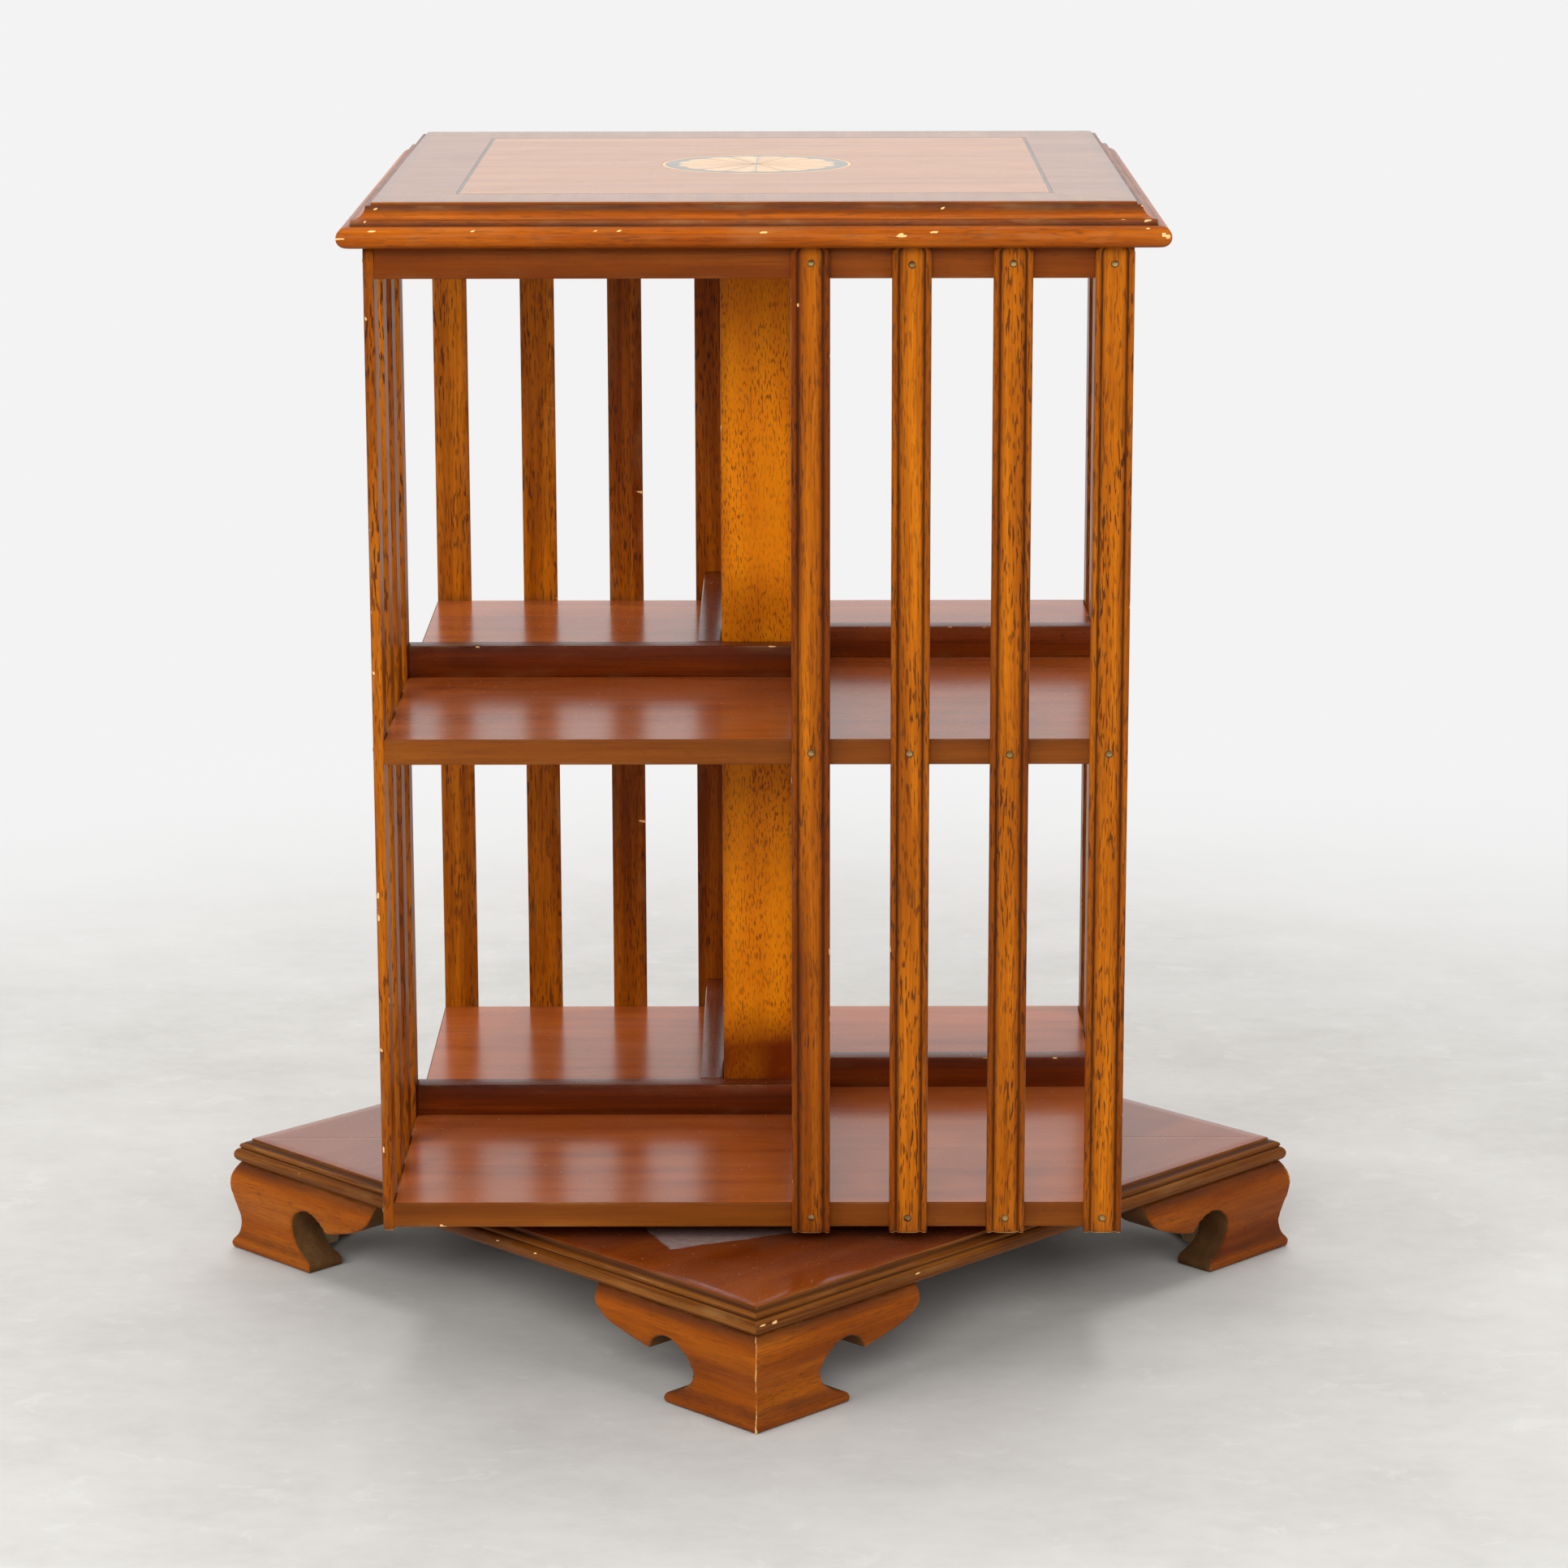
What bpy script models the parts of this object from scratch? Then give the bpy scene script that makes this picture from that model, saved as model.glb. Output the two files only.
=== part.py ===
"""Revolving bookcase: a square two-tier case of slatted sides that spins on a steel
post, over a square plinth board turned 45 degrees on ogee bracket feet.

Frame: origin on the floor at the spin axis, +Z up, the case faces -Y at rest.
Sizes are in millimetres; meshes are scaled to metres as they are made. Everything
that stands still is parented to base_axis, everything that spins to case_axis.
"""
from math import cos, pi, radians, sin, sqrt

import bmesh
import bpy

MM = 0.001
GAP = 0.3               # assembly gap between neighbouring pieces
CUT_PAST = 5.0          # how far cutting tools run past the surface they break through
SEGMENTS = 24
SHARP_ANGLE = radians(32)

# case
SHELF_HALF, SHELF_T = 230.0, 16.0
CASE_Z0 = 90.0          # underside of the bottom shelf
MID_Z0 = 390.0          # underside of the middle shelf
FRIEZE_Z0, FRIEZE_T = 691.5, 16.0
COLUMN_HALF, COLUMN_BORE_HALF = 24.0, 18.0
STOP_T, STOP_H = 15.7, 20.5

# top board and its inlay
TOP_Z0, TOP_Z1 = 711.5, 738.0
TOP_FLAT_HALF = 231.0   # flat top inside the edge moulding
STRING_HALF, STRING_W = 182.0, 1.6
PATERA_R, PATERA_SEGMENTS = 61.5, 48
INLAY_T, INLAY_RECESS = 1.2, 1.5

# slats: four on half of each side, the last one flush with the shelf corner
SLAT_COUNT = 4
SLAT_W, SLAT_T = 24.0, 7.0
SLAT_X0, SLAT_Z0 = 22.0, 88.0
SLAT_PITCH = (SHELF_HALF - SLAT_W - SLAT_X0) / (SLAT_COUNT - 1)

# base board and feet
BASE_FLAT_HALF = 244.7  # flat top inside the edge moulding
BASE_Z0, BASE_Z1 = 61.0, 77.5
BASE_EDGE_OUT = 5.4     # lower edge of the board beyond the flat
FOOT_FACE = 253.0       # nominal distance of the foot faces from the axis
FOOT_BACK = 226.5
FOOT_BLANK_L = 150.0    # bracket length before it is sawn to outline
MITRE_GAP = 0.2
BLOCK_W, BLOCK_CHAMFER, BLOCK_Z0 = 27.0, 9.0, 6.0

# spindle
POST_R, POST_CHAMFER = 10.0, 1.5
POST_Z0, POST_Z1 = 48.0, 684.0
POST_HOLE_R = POST_R + GAP
FLANGE_R, FLANGE_T = 45.0, 3.5
WASHER_R, WASHER_T = 18.0, 2.0
NUT_FLATS, NUT_H = 30.0, 8.0

# bearing
RACE_R0, RACE_R1 = 12.0, 32.0
UPPER_RACE_T = 4.1
BUSH_CLEARANCE = 0.1
BUSH_HOLE_R = 16.0
BUSH_R = BUSH_HOLE_R - GAP
MID_HOLE_CLEARANCE = 4.0
GUIDE_Z0, GUIDE_Z1 = 640.0, 690.0

SIDES = ("front", "right", "back", "left")

for old in list(bpy.data.objects):
    bpy.data.objects.remove(old, do_unlink=True)

# ---------------------------------------------------------------- materials


def material(name, colour, roughness, metallic=0.0):
    made = bpy.data.materials.new(name)
    made.use_nodes = True
    shader = made.node_tree.nodes["Principled BSDF"]
    shader.inputs["Base Color"].default_value = (*colour, 1.0)
    shader.inputs["Roughness"].default_value = roughness
    shader.inputs["Metallic"].default_value = metallic
    return made


WOOD_CASE = material("case_wood", colour=(0.30, 0.085, 0.022), roughness=0.35)
WOOD_SHELF = material("shelf_wood", colour=(0.23, 0.060, 0.020), roughness=0.30)
WOOD_SLAT = material("slat_wood", colour=(0.42, 0.150, 0.035), roughness=0.38)
WOOD_TOP = material("top_wood", colour=(0.33, 0.120, 0.060), roughness=0.28)
WOOD_BASE = material("base_wood", colour=(0.34, 0.105, 0.028), roughness=0.33)
WOOD_RAW = material("unfinished_wood", colour=(0.45, 0.30, 0.16), roughness=0.70)
WOOD_STRING = material("dark_stringing", colour=(0.05, 0.025, 0.015), roughness=0.35)
WOOD_PATERA = material("light_inlay", colour=(0.72, 0.52, 0.28), roughness=0.32)
STEEL = material("steel", colour=(0.55, 0.55, 0.56), roughness=0.35, metallic=1.0)
BRASS = material("brass", colour=(0.75, 0.55, 0.22), roughness=0.30, metallic=1.0)

# ---------------------------------------------------------------- objects and meshes


def parent_empty(name):
    empty = bpy.data.objects.new(name, None)
    empty.empty_display_size = 0.05
    bpy.context.scene.collection.objects.link(empty)
    return empty


BASE = parent_empty("base_axis")
CASE = parent_empty("case_axis")


def add_object(name, mesh, mat, parent, turn=0.0):
    """Place a mesh under a parent, turned about Z. Copies may share one mesh."""
    obj = bpy.data.objects.new(name, mesh)
    bpy.context.scene.collection.objects.link(obj)
    obj.parent = parent
    obj.rotation_euler = (0.0, 0.0, turn)
    if not mesh.materials:
        mesh.materials.append(mat)


def shade_smooth(mesh):
    mesh.shade_smooth()
    mesh.set_sharp_from_angle(angle=SHARP_ANGLE)


def mesh_from(name, bm, smooth=False):
    """Turn a bmesh in millimetres into a mesh in metres."""
    bmesh.ops.scale(bm, vec=(MM, MM, MM), verts=bm.verts)
    bmesh.ops.recalc_face_normals(bm, faces=bm.faces)
    mesh = bpy.data.meshes.new(name)
    bm.to_mesh(mesh)
    bm.free()
    if smooth:
        shade_smooth(mesh)
    return mesh


def combine(name, body, tools, operation="DIFFERENCE", smooth=False):
    """Cut a solid with tool solids and return the finished mesh."""
    target = bpy.data.objects.new("work", mesh_from("work", body))
    bpy.context.scene.collection.objects.link(target)
    helpers = [target]
    for i, tool in enumerate(tools):
        cutter = bpy.data.objects.new(f"cutter{i}", mesh_from("cutter", tool))
        cutter.hide_render = True
        cutter.display_type = "WIRE"
        bpy.context.scene.collection.objects.link(cutter)
        modifier = target.modifiers.new(f"cut{i}", "BOOLEAN")
        modifier.operation = operation
        modifier.solver = "EXACT"
        modifier.object = cutter
        helpers.append(cutter)
    bpy.context.view_layer.update()
    graph = bpy.context.evaluated_depsgraph_get()
    mesh = bpy.data.meshes.new_from_object(target.evaluated_get(graph))
    mesh.name = name
    for helper in helpers:
        bpy.data.objects.remove(helper, do_unlink=True)
    if smooth:
        shade_smooth(mesh)
    return mesh


# ---------------------------------------------------------------- basic solids


def loft(rings, closed=False):
    """Skin a list of equal-length rings; ends are capped unless the loft closes on itself."""
    bm = bmesh.new()
    rows = [[bm.verts.new(point) for point in ring] for ring in rings]
    count = len(rows[0])
    pairs = list(zip(rows, rows[1:]))
    if closed:
        pairs.append((rows[-1], rows[0]))
    for low, high in pairs:
        for i in range(count):
            j = (i + 1) % count
            bm.faces.new((low[i], low[j], high[j], high[i]))
    if not closed:
        bm.faces.new(rows[0])
        bm.faces.new(rows[-1])
    return bm


def prism(outline, z0, z1):
    """Upright solid from an (x, y) outline."""
    return loft([[(x, y, z) for x, y in outline] for z in (z0, z1)])


def box(x0, x1, y0, y1, z0, z1):
    return prism([(x0, y0), (x1, y0), (x1, y1), (x0, y1)], z0, z1)


def square_ring(half, z):
    return [(-half, -half, z), (half, -half, z), (half, half, z), (-half, half, z)]


def square_tube(half_out, half_in, z0, z1):
    return loft([square_ring(half_out, z0), square_ring(half_out, z1),
                 square_ring(half_in, z1), square_ring(half_in, z0)], closed=True)


def moulded_square(flat_half, profile):
    """Square board with a moulded edge: (outward offset, height) from the top down."""
    return loft([square_ring(flat_half + out, z) for out, z in reversed(profile)])


def circle(radius, z, count=SEGMENTS):
    return [(radius * cos(2 * pi * i / count), radius * sin(2 * pi * i / count), z)
            for i in range(count)]


def disc(radius, z0, z1, count=SEGMENTS):
    return loft([circle(radius, z0, count), circle(radius, z1, count)])


def bored(name, body, radius, z0, z1):
    """Mesh of a solid standing from z0 to z1 with a round hole through it on the axis."""
    return combine(name, body, [disc(radius, z0 - CUT_PAST, z1 + CUT_PAST)])


def add_round_tube(name, r_in, r_out, z0, z1, mat, parent):
    tube = loft([circle(r_out, z0), circle(r_out, z1),
                 circle(r_in, z1), circle(r_in, z0)], closed=True)
    add_object(name, mesh_from(name, tube, smooth=True), mat, parent)


# ---------------------------------------------------------------- base board


def ellipse_arc(centre, radii, start, end, steps):
    """Points along an elliptical arc, in (outward offset, height); angles in degrees."""
    angles = [radians(start + (end - start) * i / steps) for i in range(steps + 1)]
    return [(centre[0] + radii[0] * cos(angle), centre[1] + radii[1] * sin(angle))
            for angle in angles]


def base_edge():
    """Edge moulding from the top down: a step, a small round, a nick, a larger round."""
    top = BASE_Z1
    small_round = ellipse_arc(centre=(3.6, top - 5.4), radii=(2.6, 2.3),
                              start=75, end=0, steps=3)
    large_round = ellipse_arc(centre=(BASE_EDGE_OUT, top - 11.6), radii=(3.6, 4.9),
                              start=85, end=-55, steps=6)
    return ([(0.0, top), (0.0, top - 2.6), (3.5, top - 2.6)] + small_round
            + [(5.2, top - 6.4)] + large_round + [(BASE_EDGE_OUT, BASE_Z0)])


def add_base_board():
    board = moulded_square(BASE_FLAT_HALF, base_edge())
    mesh = bored("base_board", board, POST_HOLE_R, BASE_Z0, BASE_Z1)
    add_object("base_board", mesh, WOOD_BASE, BASE, radians(45))


# ---------------------------------------------------------------- bracket feet

FOOT_TOP = BASE_Z0 - GAP

# lower and upper foot face: (outward from the flat of the base board, height)
FOOT_FACE_LOWER = [(10.7, 0.0), (11.2, 3.0), (10.2, 6.2), (8.3, 8.6), (6.9, 12.0), (6.2, 17.5)]
FOOT_FACE_UPPER = [(10.7, 52.0), (8.6, 57.0), (BASE_EDGE_OUT, FOOT_TOP)]

# side view of a bracket: (distance from the corner, height); it overshoots the
# blank at the corner, the floor and the top
FOOT_OUTLINE = [
    (-20.0, -5.0), (79.0, -5.0), (79.0, 5.0),
    (77.0, 7.2), (71.0, 9.6), (64.5, 12.6), (59.5, 17.0), (57.6, 23.0),
    (58.6, 29.0), (62.0, 35.0), (67.5, 40.0), (74.0, 42.9), (81.0, 43.2),
    (87.5, 40.6), (92.0, 36.4), (94.5, 31.6),
    (103.0, 32.6), (113.0, 35.4), (124.0, 38.9), (134.0, 43.0), (141.0, 48.5),
    (144.0, 54.0), (144.5, 66.0), (-20.0, 66.0),
]


def foot_section():
    """Ogee section of a bracket in (distance from the axis, height), bottom to top."""
    # half a cosine wave swells the face outward between the two tables
    swell = [(8.75 - 2.55 * cos(pi * t), 17.5 + 27.5 * t) for t in (0.2, 0.4, 0.6, 0.8, 1.0)]
    face = FOOT_FACE_LOWER + swell + FOOT_FACE_UPPER
    return ([(FOOT_BACK, 0.0)] + [(BASE_FLAT_HALF + out, z) for out, z in face]
            + [(FOOT_BACK, FOOT_TOP)])


def foot_bracket(side):
    """One mitred half of a foot on the -Y side, at its +X (side 1) or -X (side -1) corner."""
    section = foot_section()
    mitred_end = [(side * (out - MITRE_GAP), -out, z) for out, z in section]
    square_end = [(side * (FOOT_FACE - FOOT_BLANK_L), -out, z) for out, z in section]
    tool = loft([[(side * (FOOT_FACE - along), -out, z) for along, z in FOOT_OUTLINE]
                 for out in (FOOT_BACK - 8.0, FOOT_FACE + 12.0)])
    return combine("foot_bracket", loft([mitred_end, square_end]), [tool],
                   operation="INTERSECT", smooth=True)


def glue_block():
    """Block behind the +X -Y corner, its corner nearest the axis chamfered."""
    outer = FOOT_BACK - GAP
    inner = FOOT_BACK - BLOCK_W
    outline = [(outer, -outer), (outer, -inner), (inner + BLOCK_CHAMFER, -inner),
               (inner, -(inner + BLOCK_CHAMFER)), (inner, -outer)]
    return mesh_from("glue_block", prism(outline, BLOCK_Z0, FOOT_TOP))


def add_feet():
    bracket_a = foot_bracket(+1)
    bracket_b = foot_bracket(-1)
    block = glue_block()
    for k, corner in enumerate(SIDES):
        # the unturned corner lies at +X -Y; turning by -45 degrees brings it to the front
        turn = radians(-45 + 90 * k)
        name = f"foot_{corner}"
        add_object(f"{name}_bracket_a", bracket_a, WOOD_BASE, BASE, turn)
        add_object(f"{name}_bracket_b", bracket_b, WOOD_BASE, BASE, turn + radians(90))
        add_object(f"{name}_glue_block", block, WOOD_RAW, BASE, turn)


# ---------------------------------------------------------------- spindle and bearing


def add_spindle():
    """Post fixed to the base: flange above the board, washer and nut below it."""
    post = loft([circle(POST_R - POST_CHAMFER, POST_Z0), circle(POST_R, POST_Z0 + POST_CHAMFER),
                 circle(POST_R, POST_Z1 - POST_CHAMFER), circle(POST_R - POST_CHAMFER, POST_Z1)])
    add_object("spindle_post", mesh_from("spindle_post", post, smooth=True), STEEL, BASE)

    flange_z0 = BASE_Z1 + GAP
    add_round_tube("spindle_flange", POST_HOLE_R, FLANGE_R,
                   flange_z0, flange_z0 + FLANGE_T, STEEL, BASE)

    washer_z1 = BASE_Z0 - GAP
    washer_z0 = washer_z1 - WASHER_T
    add_round_tube("spindle_washer", POST_HOLE_R, WASHER_R, washer_z0, washer_z1, STEEL, BASE)

    nut_z1 = washer_z0 - GAP
    nut_z0 = nut_z1 - NUT_H
    hexagon = disc(NUT_FLATS / sqrt(3), nut_z0, nut_z1, count=6)
    nut = bored("spindle_nut", hexagon, POST_HOLE_R, nut_z0, nut_z1)
    add_object("spindle_nut", nut, STEEL, BASE)


def add_thrust_washers():
    """Two washers between flange and bottom shelf; the lower stands still, the upper spins."""
    lower_z0 = BASE_Z1 + GAP + FLANGE_T + GAP
    upper_z1 = CASE_Z0 - GAP
    upper_z0 = upper_z1 - UPPER_RACE_T
    add_round_tube("thrust_washer_lower", RACE_R0, RACE_R1, lower_z0, upper_z0 - GAP, BRASS, BASE)
    add_round_tube("thrust_washer_upper", RACE_R0, RACE_R1, upper_z0, upper_z1, BRASS, CASE)


def add_guides():
    """Bushes that turn on the post, in the bottom shelf and in a block in the upper column."""
    half = COLUMN_BORE_HALF - GAP
    block = bored("guide_block_upper", box(-half, half, -half, half, GUIDE_Z0, GUIDE_Z1),
                  BUSH_HOLE_R, GUIDE_Z0, GUIDE_Z1)
    add_object("guide_block_upper", block, WOOD_RAW, CASE)
    for tier, z0, z1 in (("lower", CASE_Z0, CASE_Z0 + SHELF_T), ("upper", GUIDE_Z0, GUIDE_Z1)):
        add_round_tube(f"guide_bush_{tier}", POST_R + BUSH_CLEARANCE, BUSH_R,
                       z0 + GAP, z1 - GAP, BRASS, CASE)


# ---------------------------------------------------------------- shelves and columns


def add_shelf(name, z0, hole_r):
    z1 = z0 + SHELF_T
    board = box(-SHELF_HALF, SHELF_HALF, -SHELF_HALF, SHELF_HALF, z0, z1)
    add_object(name, bored(name, board, hole_r, z0, z1), WOOD_SHELF, CASE)


def add_column(name, shelf_z0, ceiling):
    """Hollow square column from the top of a shelf to the board above it."""
    tube = square_tube(COLUMN_HALF, COLUMN_BORE_HALF, shelf_z0 + SHELF_T + GAP, ceiling - GAP)
    add_object(name, mesh_from(name, tube), WOOD_SLAT, CASE)


# ---------------------------------------------------------------- pinwheel pieces


def add_pinwheel(pattern, mesh, mat):
    """Repeat a piece made for the front on all four sides; pattern holds {side}."""
    for k, side in enumerate(SIDES):
        add_object(pattern.format(side=side), mesh, mat, CASE, radians(90 * k))


def add_book_stops():
    """Strips on each shelf that run along the column out to the shelf edge."""
    near = COLUMN_HALF + GAP
    for tier, shelf_z0 in (("lower", CASE_Z0), ("upper", MID_Z0)):
        z0 = shelf_z0 + SHELF_T + GAP
        strip = box(-(SHELF_HALF - GAP), COLUMN_HALF, -(near + STOP_T), -near, z0, z0 + STOP_H)
        name = f"book_stop_{tier}"
        add_pinwheel(name + "_{side}", mesh_from(name, strip), WOOD_CASE)


def add_frieze_rails():
    """Rails under the top board, each butting against the next at the corner."""
    rail = box(-SHELF_HALF, SHELF_HALF - FRIEZE_T - GAP,
               -SHELF_HALF, -SHELF_HALF + FRIEZE_T, FRIEZE_Z0, TOP_Z0 - GAP)
    add_pinwheel("frieze_rail_{side}", mesh_from("frieze_rail", rail), WOOD_CASE)


# first half of the slat section, up to its middle: (across, outward);
# a bead at the edge, then a wide rounded centre
SLAT_HALF_SECTION = [
    (0.0, 0.0),
    (0.0, 5.2), (0.6, 6.3), (1.9, 6.8), (3.1, 6.2), (3.9, 5.2),
    (4.9, 5.7), (7.5, 6.7), (SLAT_W / 2, SLAT_T),
]


def add_slats():
    mirrored = [(SLAT_W - across, out) for across, out in reversed(SLAT_HALF_SECTION[:-1])]
    section = SLAT_HALF_SECTION + mirrored
    back = SHELF_HALF + GAP
    squeeze = (SLAT_T - GAP) / SLAT_T   # keeps the face SLAT_T beyond the shelf edge
    for n in range(SLAT_COUNT):
        x0 = SLAT_X0 + n * SLAT_PITCH
        outline = [(x0 + across, -back - out * squeeze) for across, out in section]
        bar = prism(outline, SLAT_Z0, TOP_Z0 - GAP)
        mesh = mesh_from(f"slat_{n + 1}", bar, smooth=True)
        add_pinwheel("slat_{side}_" + str(n + 1), mesh, WOOD_SLAT)


# ---------------------------------------------------------------- top board and its inlay


def top_edge():
    """Edge moulding from the top down: a step, a cove, a fillet and a rounded nose."""
    step_z = TOP_Z1 - 1.6
    nose_top = TOP_Z1 - 13.1
    nose_z = (nose_top + TOP_Z0) / 2
    nose_half = (nose_top - TOP_Z0) / 2
    cove = [(3.2 + 8.6 * (1 - cos(angle)), step_z - 7.9 * sin(angle))
            for angle in (pi / 8, pi / 4, 3 * pi / 8)]
    nose = [(13.0 + 7.0 * sin(pi * i / 8), nose_z + nose_half * cos(pi * i / 8))
            for i in range(1, 8)]
    return ([(0.0, TOP_Z1), (0.0, step_z), (3.2, step_z)] + cove
            + [(11.8, TOP_Z1 - 9.6), (11.8, TOP_Z1 - 12.0), (13.0, nose_top)]
            + nose + [(13.0, TOP_Z0)])


def stringing(clearance, z0, z1):
    """Thin square band, widened by a clearance on both edges."""
    half_w = STRING_W / 2 + clearance
    return square_tube(STRING_HALF + half_w, STRING_HALF - half_w, z0, z1)


def add_top():
    """Top board with a round and a square recess, and the inlays that sit in them."""
    recess = (TOP_Z1 - INLAY_RECESS, TOP_Z1 + CUT_PAST)
    tools = [disc(PATERA_R + GAP, *recess, PATERA_SEGMENTS), stringing(GAP, *recess)]
    board = combine("top_board", moulded_square(TOP_FLAT_HALF, top_edge()), tools, smooth=True)
    add_object("top_board", board, WOOD_TOP, CASE)

    inlay = (TOP_Z1 - INLAY_T, TOP_Z1)
    patera = mesh_from("inlay_patera", disc(PATERA_R, *inlay, PATERA_SEGMENTS))
    add_object("inlay_patera", patera, WOOD_PATERA, CASE)
    band = mesh_from("inlay_stringing", stringing(0.0, *inlay))
    add_object("inlay_stringing", band, WOOD_STRING, CASE)


add_base_board()
add_feet()
add_spindle()
add_thrust_washers()
add_guides()
add_shelf("bottom_shelf", CASE_Z0, BUSH_HOLE_R)
add_shelf("mid_shelf", MID_Z0, POST_R + MID_HOLE_CLEARANCE)
add_column("column_lower", CASE_Z0, MID_Z0)
add_column("column_upper", MID_Z0, TOP_Z0)
add_book_stops()
add_frieze_rails()
add_slats()
add_top()
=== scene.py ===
# A revolving bookcase: two square shelves round a hollow square column, four moulded slats and
# two book stops on each side, and a moulded top with an inlaid rosette. It stands on a square
# plinth turned 45 degrees, with ogee bracket feet at its corners.
# Centred on the Z axis, floor at z = 0, front towards -Y. Shapes are worked out in mm and built
# in metres.
import math
from itertools import product

import bmesh
import bpy
import numpy as np
from mathutils import Matrix, Vector


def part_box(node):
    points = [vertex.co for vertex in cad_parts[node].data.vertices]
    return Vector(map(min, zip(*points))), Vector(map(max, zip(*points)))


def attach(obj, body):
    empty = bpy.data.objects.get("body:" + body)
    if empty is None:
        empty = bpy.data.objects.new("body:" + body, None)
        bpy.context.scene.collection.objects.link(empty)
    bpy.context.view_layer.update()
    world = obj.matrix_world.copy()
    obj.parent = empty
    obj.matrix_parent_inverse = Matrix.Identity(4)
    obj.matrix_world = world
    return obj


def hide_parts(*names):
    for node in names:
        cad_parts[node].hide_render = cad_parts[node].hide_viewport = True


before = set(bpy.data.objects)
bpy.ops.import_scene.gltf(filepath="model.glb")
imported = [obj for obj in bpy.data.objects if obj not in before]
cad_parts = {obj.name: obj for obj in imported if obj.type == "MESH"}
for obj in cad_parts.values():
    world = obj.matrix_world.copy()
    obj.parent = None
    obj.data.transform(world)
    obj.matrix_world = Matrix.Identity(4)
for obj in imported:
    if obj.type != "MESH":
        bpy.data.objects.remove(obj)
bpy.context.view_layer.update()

MM = 0.001
SIDES = ("front", "right", "back", "left")      # each a quarter turn on from the last
QUARTER = math.radians(90)


# ---------------------------------------------------------------- sizes from the frame, in mm
def mm_box(node):
    low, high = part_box(node)
    return np.array(low) * 1000.0, np.array(high) * 1000.0


mid_low, mid_high = mm_box("mid_shelf")
bottom_low, bottom_high = mm_box("bottom_shelf")
top_low, top_high = mm_box("top_board")
base_low, base_high = mm_box("base_board")
rail_low, rail_high = mm_box("frieze_rail_front")
column_half = mm_box("column_upper")[1][0]
slat_boxes = [mm_box(f"slat_front_{n}") for n in (1, 2, 3, 4)]
upper_stop = mm_box("book_stop_upper_front")
lower_stop = mm_box("book_stop_lower_front")

SHELF_HALF = mid_high[0]
SLAT_THICK = 7.0
PLINTH_HALF = base_high[0] / math.sqrt(2) - 9.0     # half width of the plinth's flat top


# ---------------------------------------------------------------- noise for shapes
def lattice_value(cell, seed):
    """A fixed pseudo-random value in 0..1 for each whole-number point."""
    n = (cell[..., 0] * 73856093) ^ (cell[..., 1] * 19349663) ^ (cell[..., 2] * 83492791)
    n = (n ^ ((seed * 7919 + 13) * 104729)) & 0xFFFFFFFF
    n = ((n ^ (n >> 13)) * 1274126177) & 0xFFFFFFFF
    n = ((n ^ (n >> 15)) * 668265263) & 0xFFFFFFFF
    n = (n ^ (n >> 16)) & 0xFFFFFFFF
    return n / 4294967295.0


def value_noise(x, y, z, seed):
    """Smooth value noise in 0..1."""
    points = np.stack(np.broadcast_arrays(x, y, z), -1).astype(float)
    cell = np.floor(points).astype(np.int64)
    part = points - cell
    part = part * part * (3 - 2 * part)
    total = 0.0
    for corner in product((0, 1), repeat=3):
        weight = np.prod(np.where(corner, part, 1 - part), -1)
        total = total + weight * lattice_value(cell + corner, seed)
    return total


def noise_along(along, seed, octaves=3):
    weights = [0.5 ** k for k in range(octaves)]
    total = sum(weight * value_noise(along * 2 ** k, 0.37 * 2 ** k, 0.71 * 2 ** k, seed + 31 * k)
                for k, weight in enumerate(weights))
    return total / sum(weights)


def smooth(start, end, x):
    t = np.clip((x - start) / (end - start), 0, 1)
    return t * t * (3 - 2 * t)


# ---------------------------------------------------------------- wear
def dent(along, around, centre, at, half, reach, ragged=1.0):
    """An oval dent, 1 at its middle and 0 from its rim outwards."""
    return np.clip(1 - (((along - centre) / half) ** 2 * ragged)[:, None]
                   - (((around - at) / reach) ** 2)[None, :], 0, 1)


def wear_field(along, around, arrises, seed, rub):
    """Depth worn away (mm), paleness and nearness to an arris, over length by section.

    arrises: (section position, chip density, size)."""
    rng = np.random.default_rng(seed)
    depth = np.zeros((len(along), len(around)))
    pale = np.zeros_like(depth)
    edge = np.zeros_like(depth)
    length = along.max()
    ragged = 1 + 0.5 * (noise_along(along * 1.3, seed + 99, 2) - 0.5)
    for number, (at, density, size) in enumerate(arrises):
        near = np.exp(-((around - at) / (0.75 * size)) ** 2)
        coarse = noise_along(along * 0.045, seed + 7 * number, 4)
        fine = noise_along(along * 0.35, seed + 7 * number + 3, 3)
        depth += rub * size * np.outer(0.35 + 1.3 * coarse + 0.5 * fine, near)
        patches = smooth(0.35, 0.75, noise_along(along * 0.018, seed + 17 * number, 2))
        busy = min(1.0, 0.45 + density / 16.0) * (0.55 + 0.9 * patches)
        near = np.exp(-((around - at) / (0.9 * size)) ** 2)
        edge = np.maximum(edge, np.outer(np.minimum(busy, 1.0), near))
        for _ in range(rng.poisson(0.35 * density * length / 1000.0)):
            centre = rng.random() * length
            half = size * (0.9 + 2.6 * rng.random() ** 2.2)
            deep = size * (0.10 + 0.36 * rng.random() ** 1.6)
            reach = size * (0.40 + 0.5 * rng.random())
            shift = (rng.random() - 0.5) * 0.4 * size
            chip = dent(along, around, centre, at + shift, half, reach, ragged)
            depth = np.maximum(depth, deep * np.sqrt(chip))
            pale = np.maximum(pale, smooth(0.02, 0.30, chip))
    return depth, pale, edge


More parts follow.
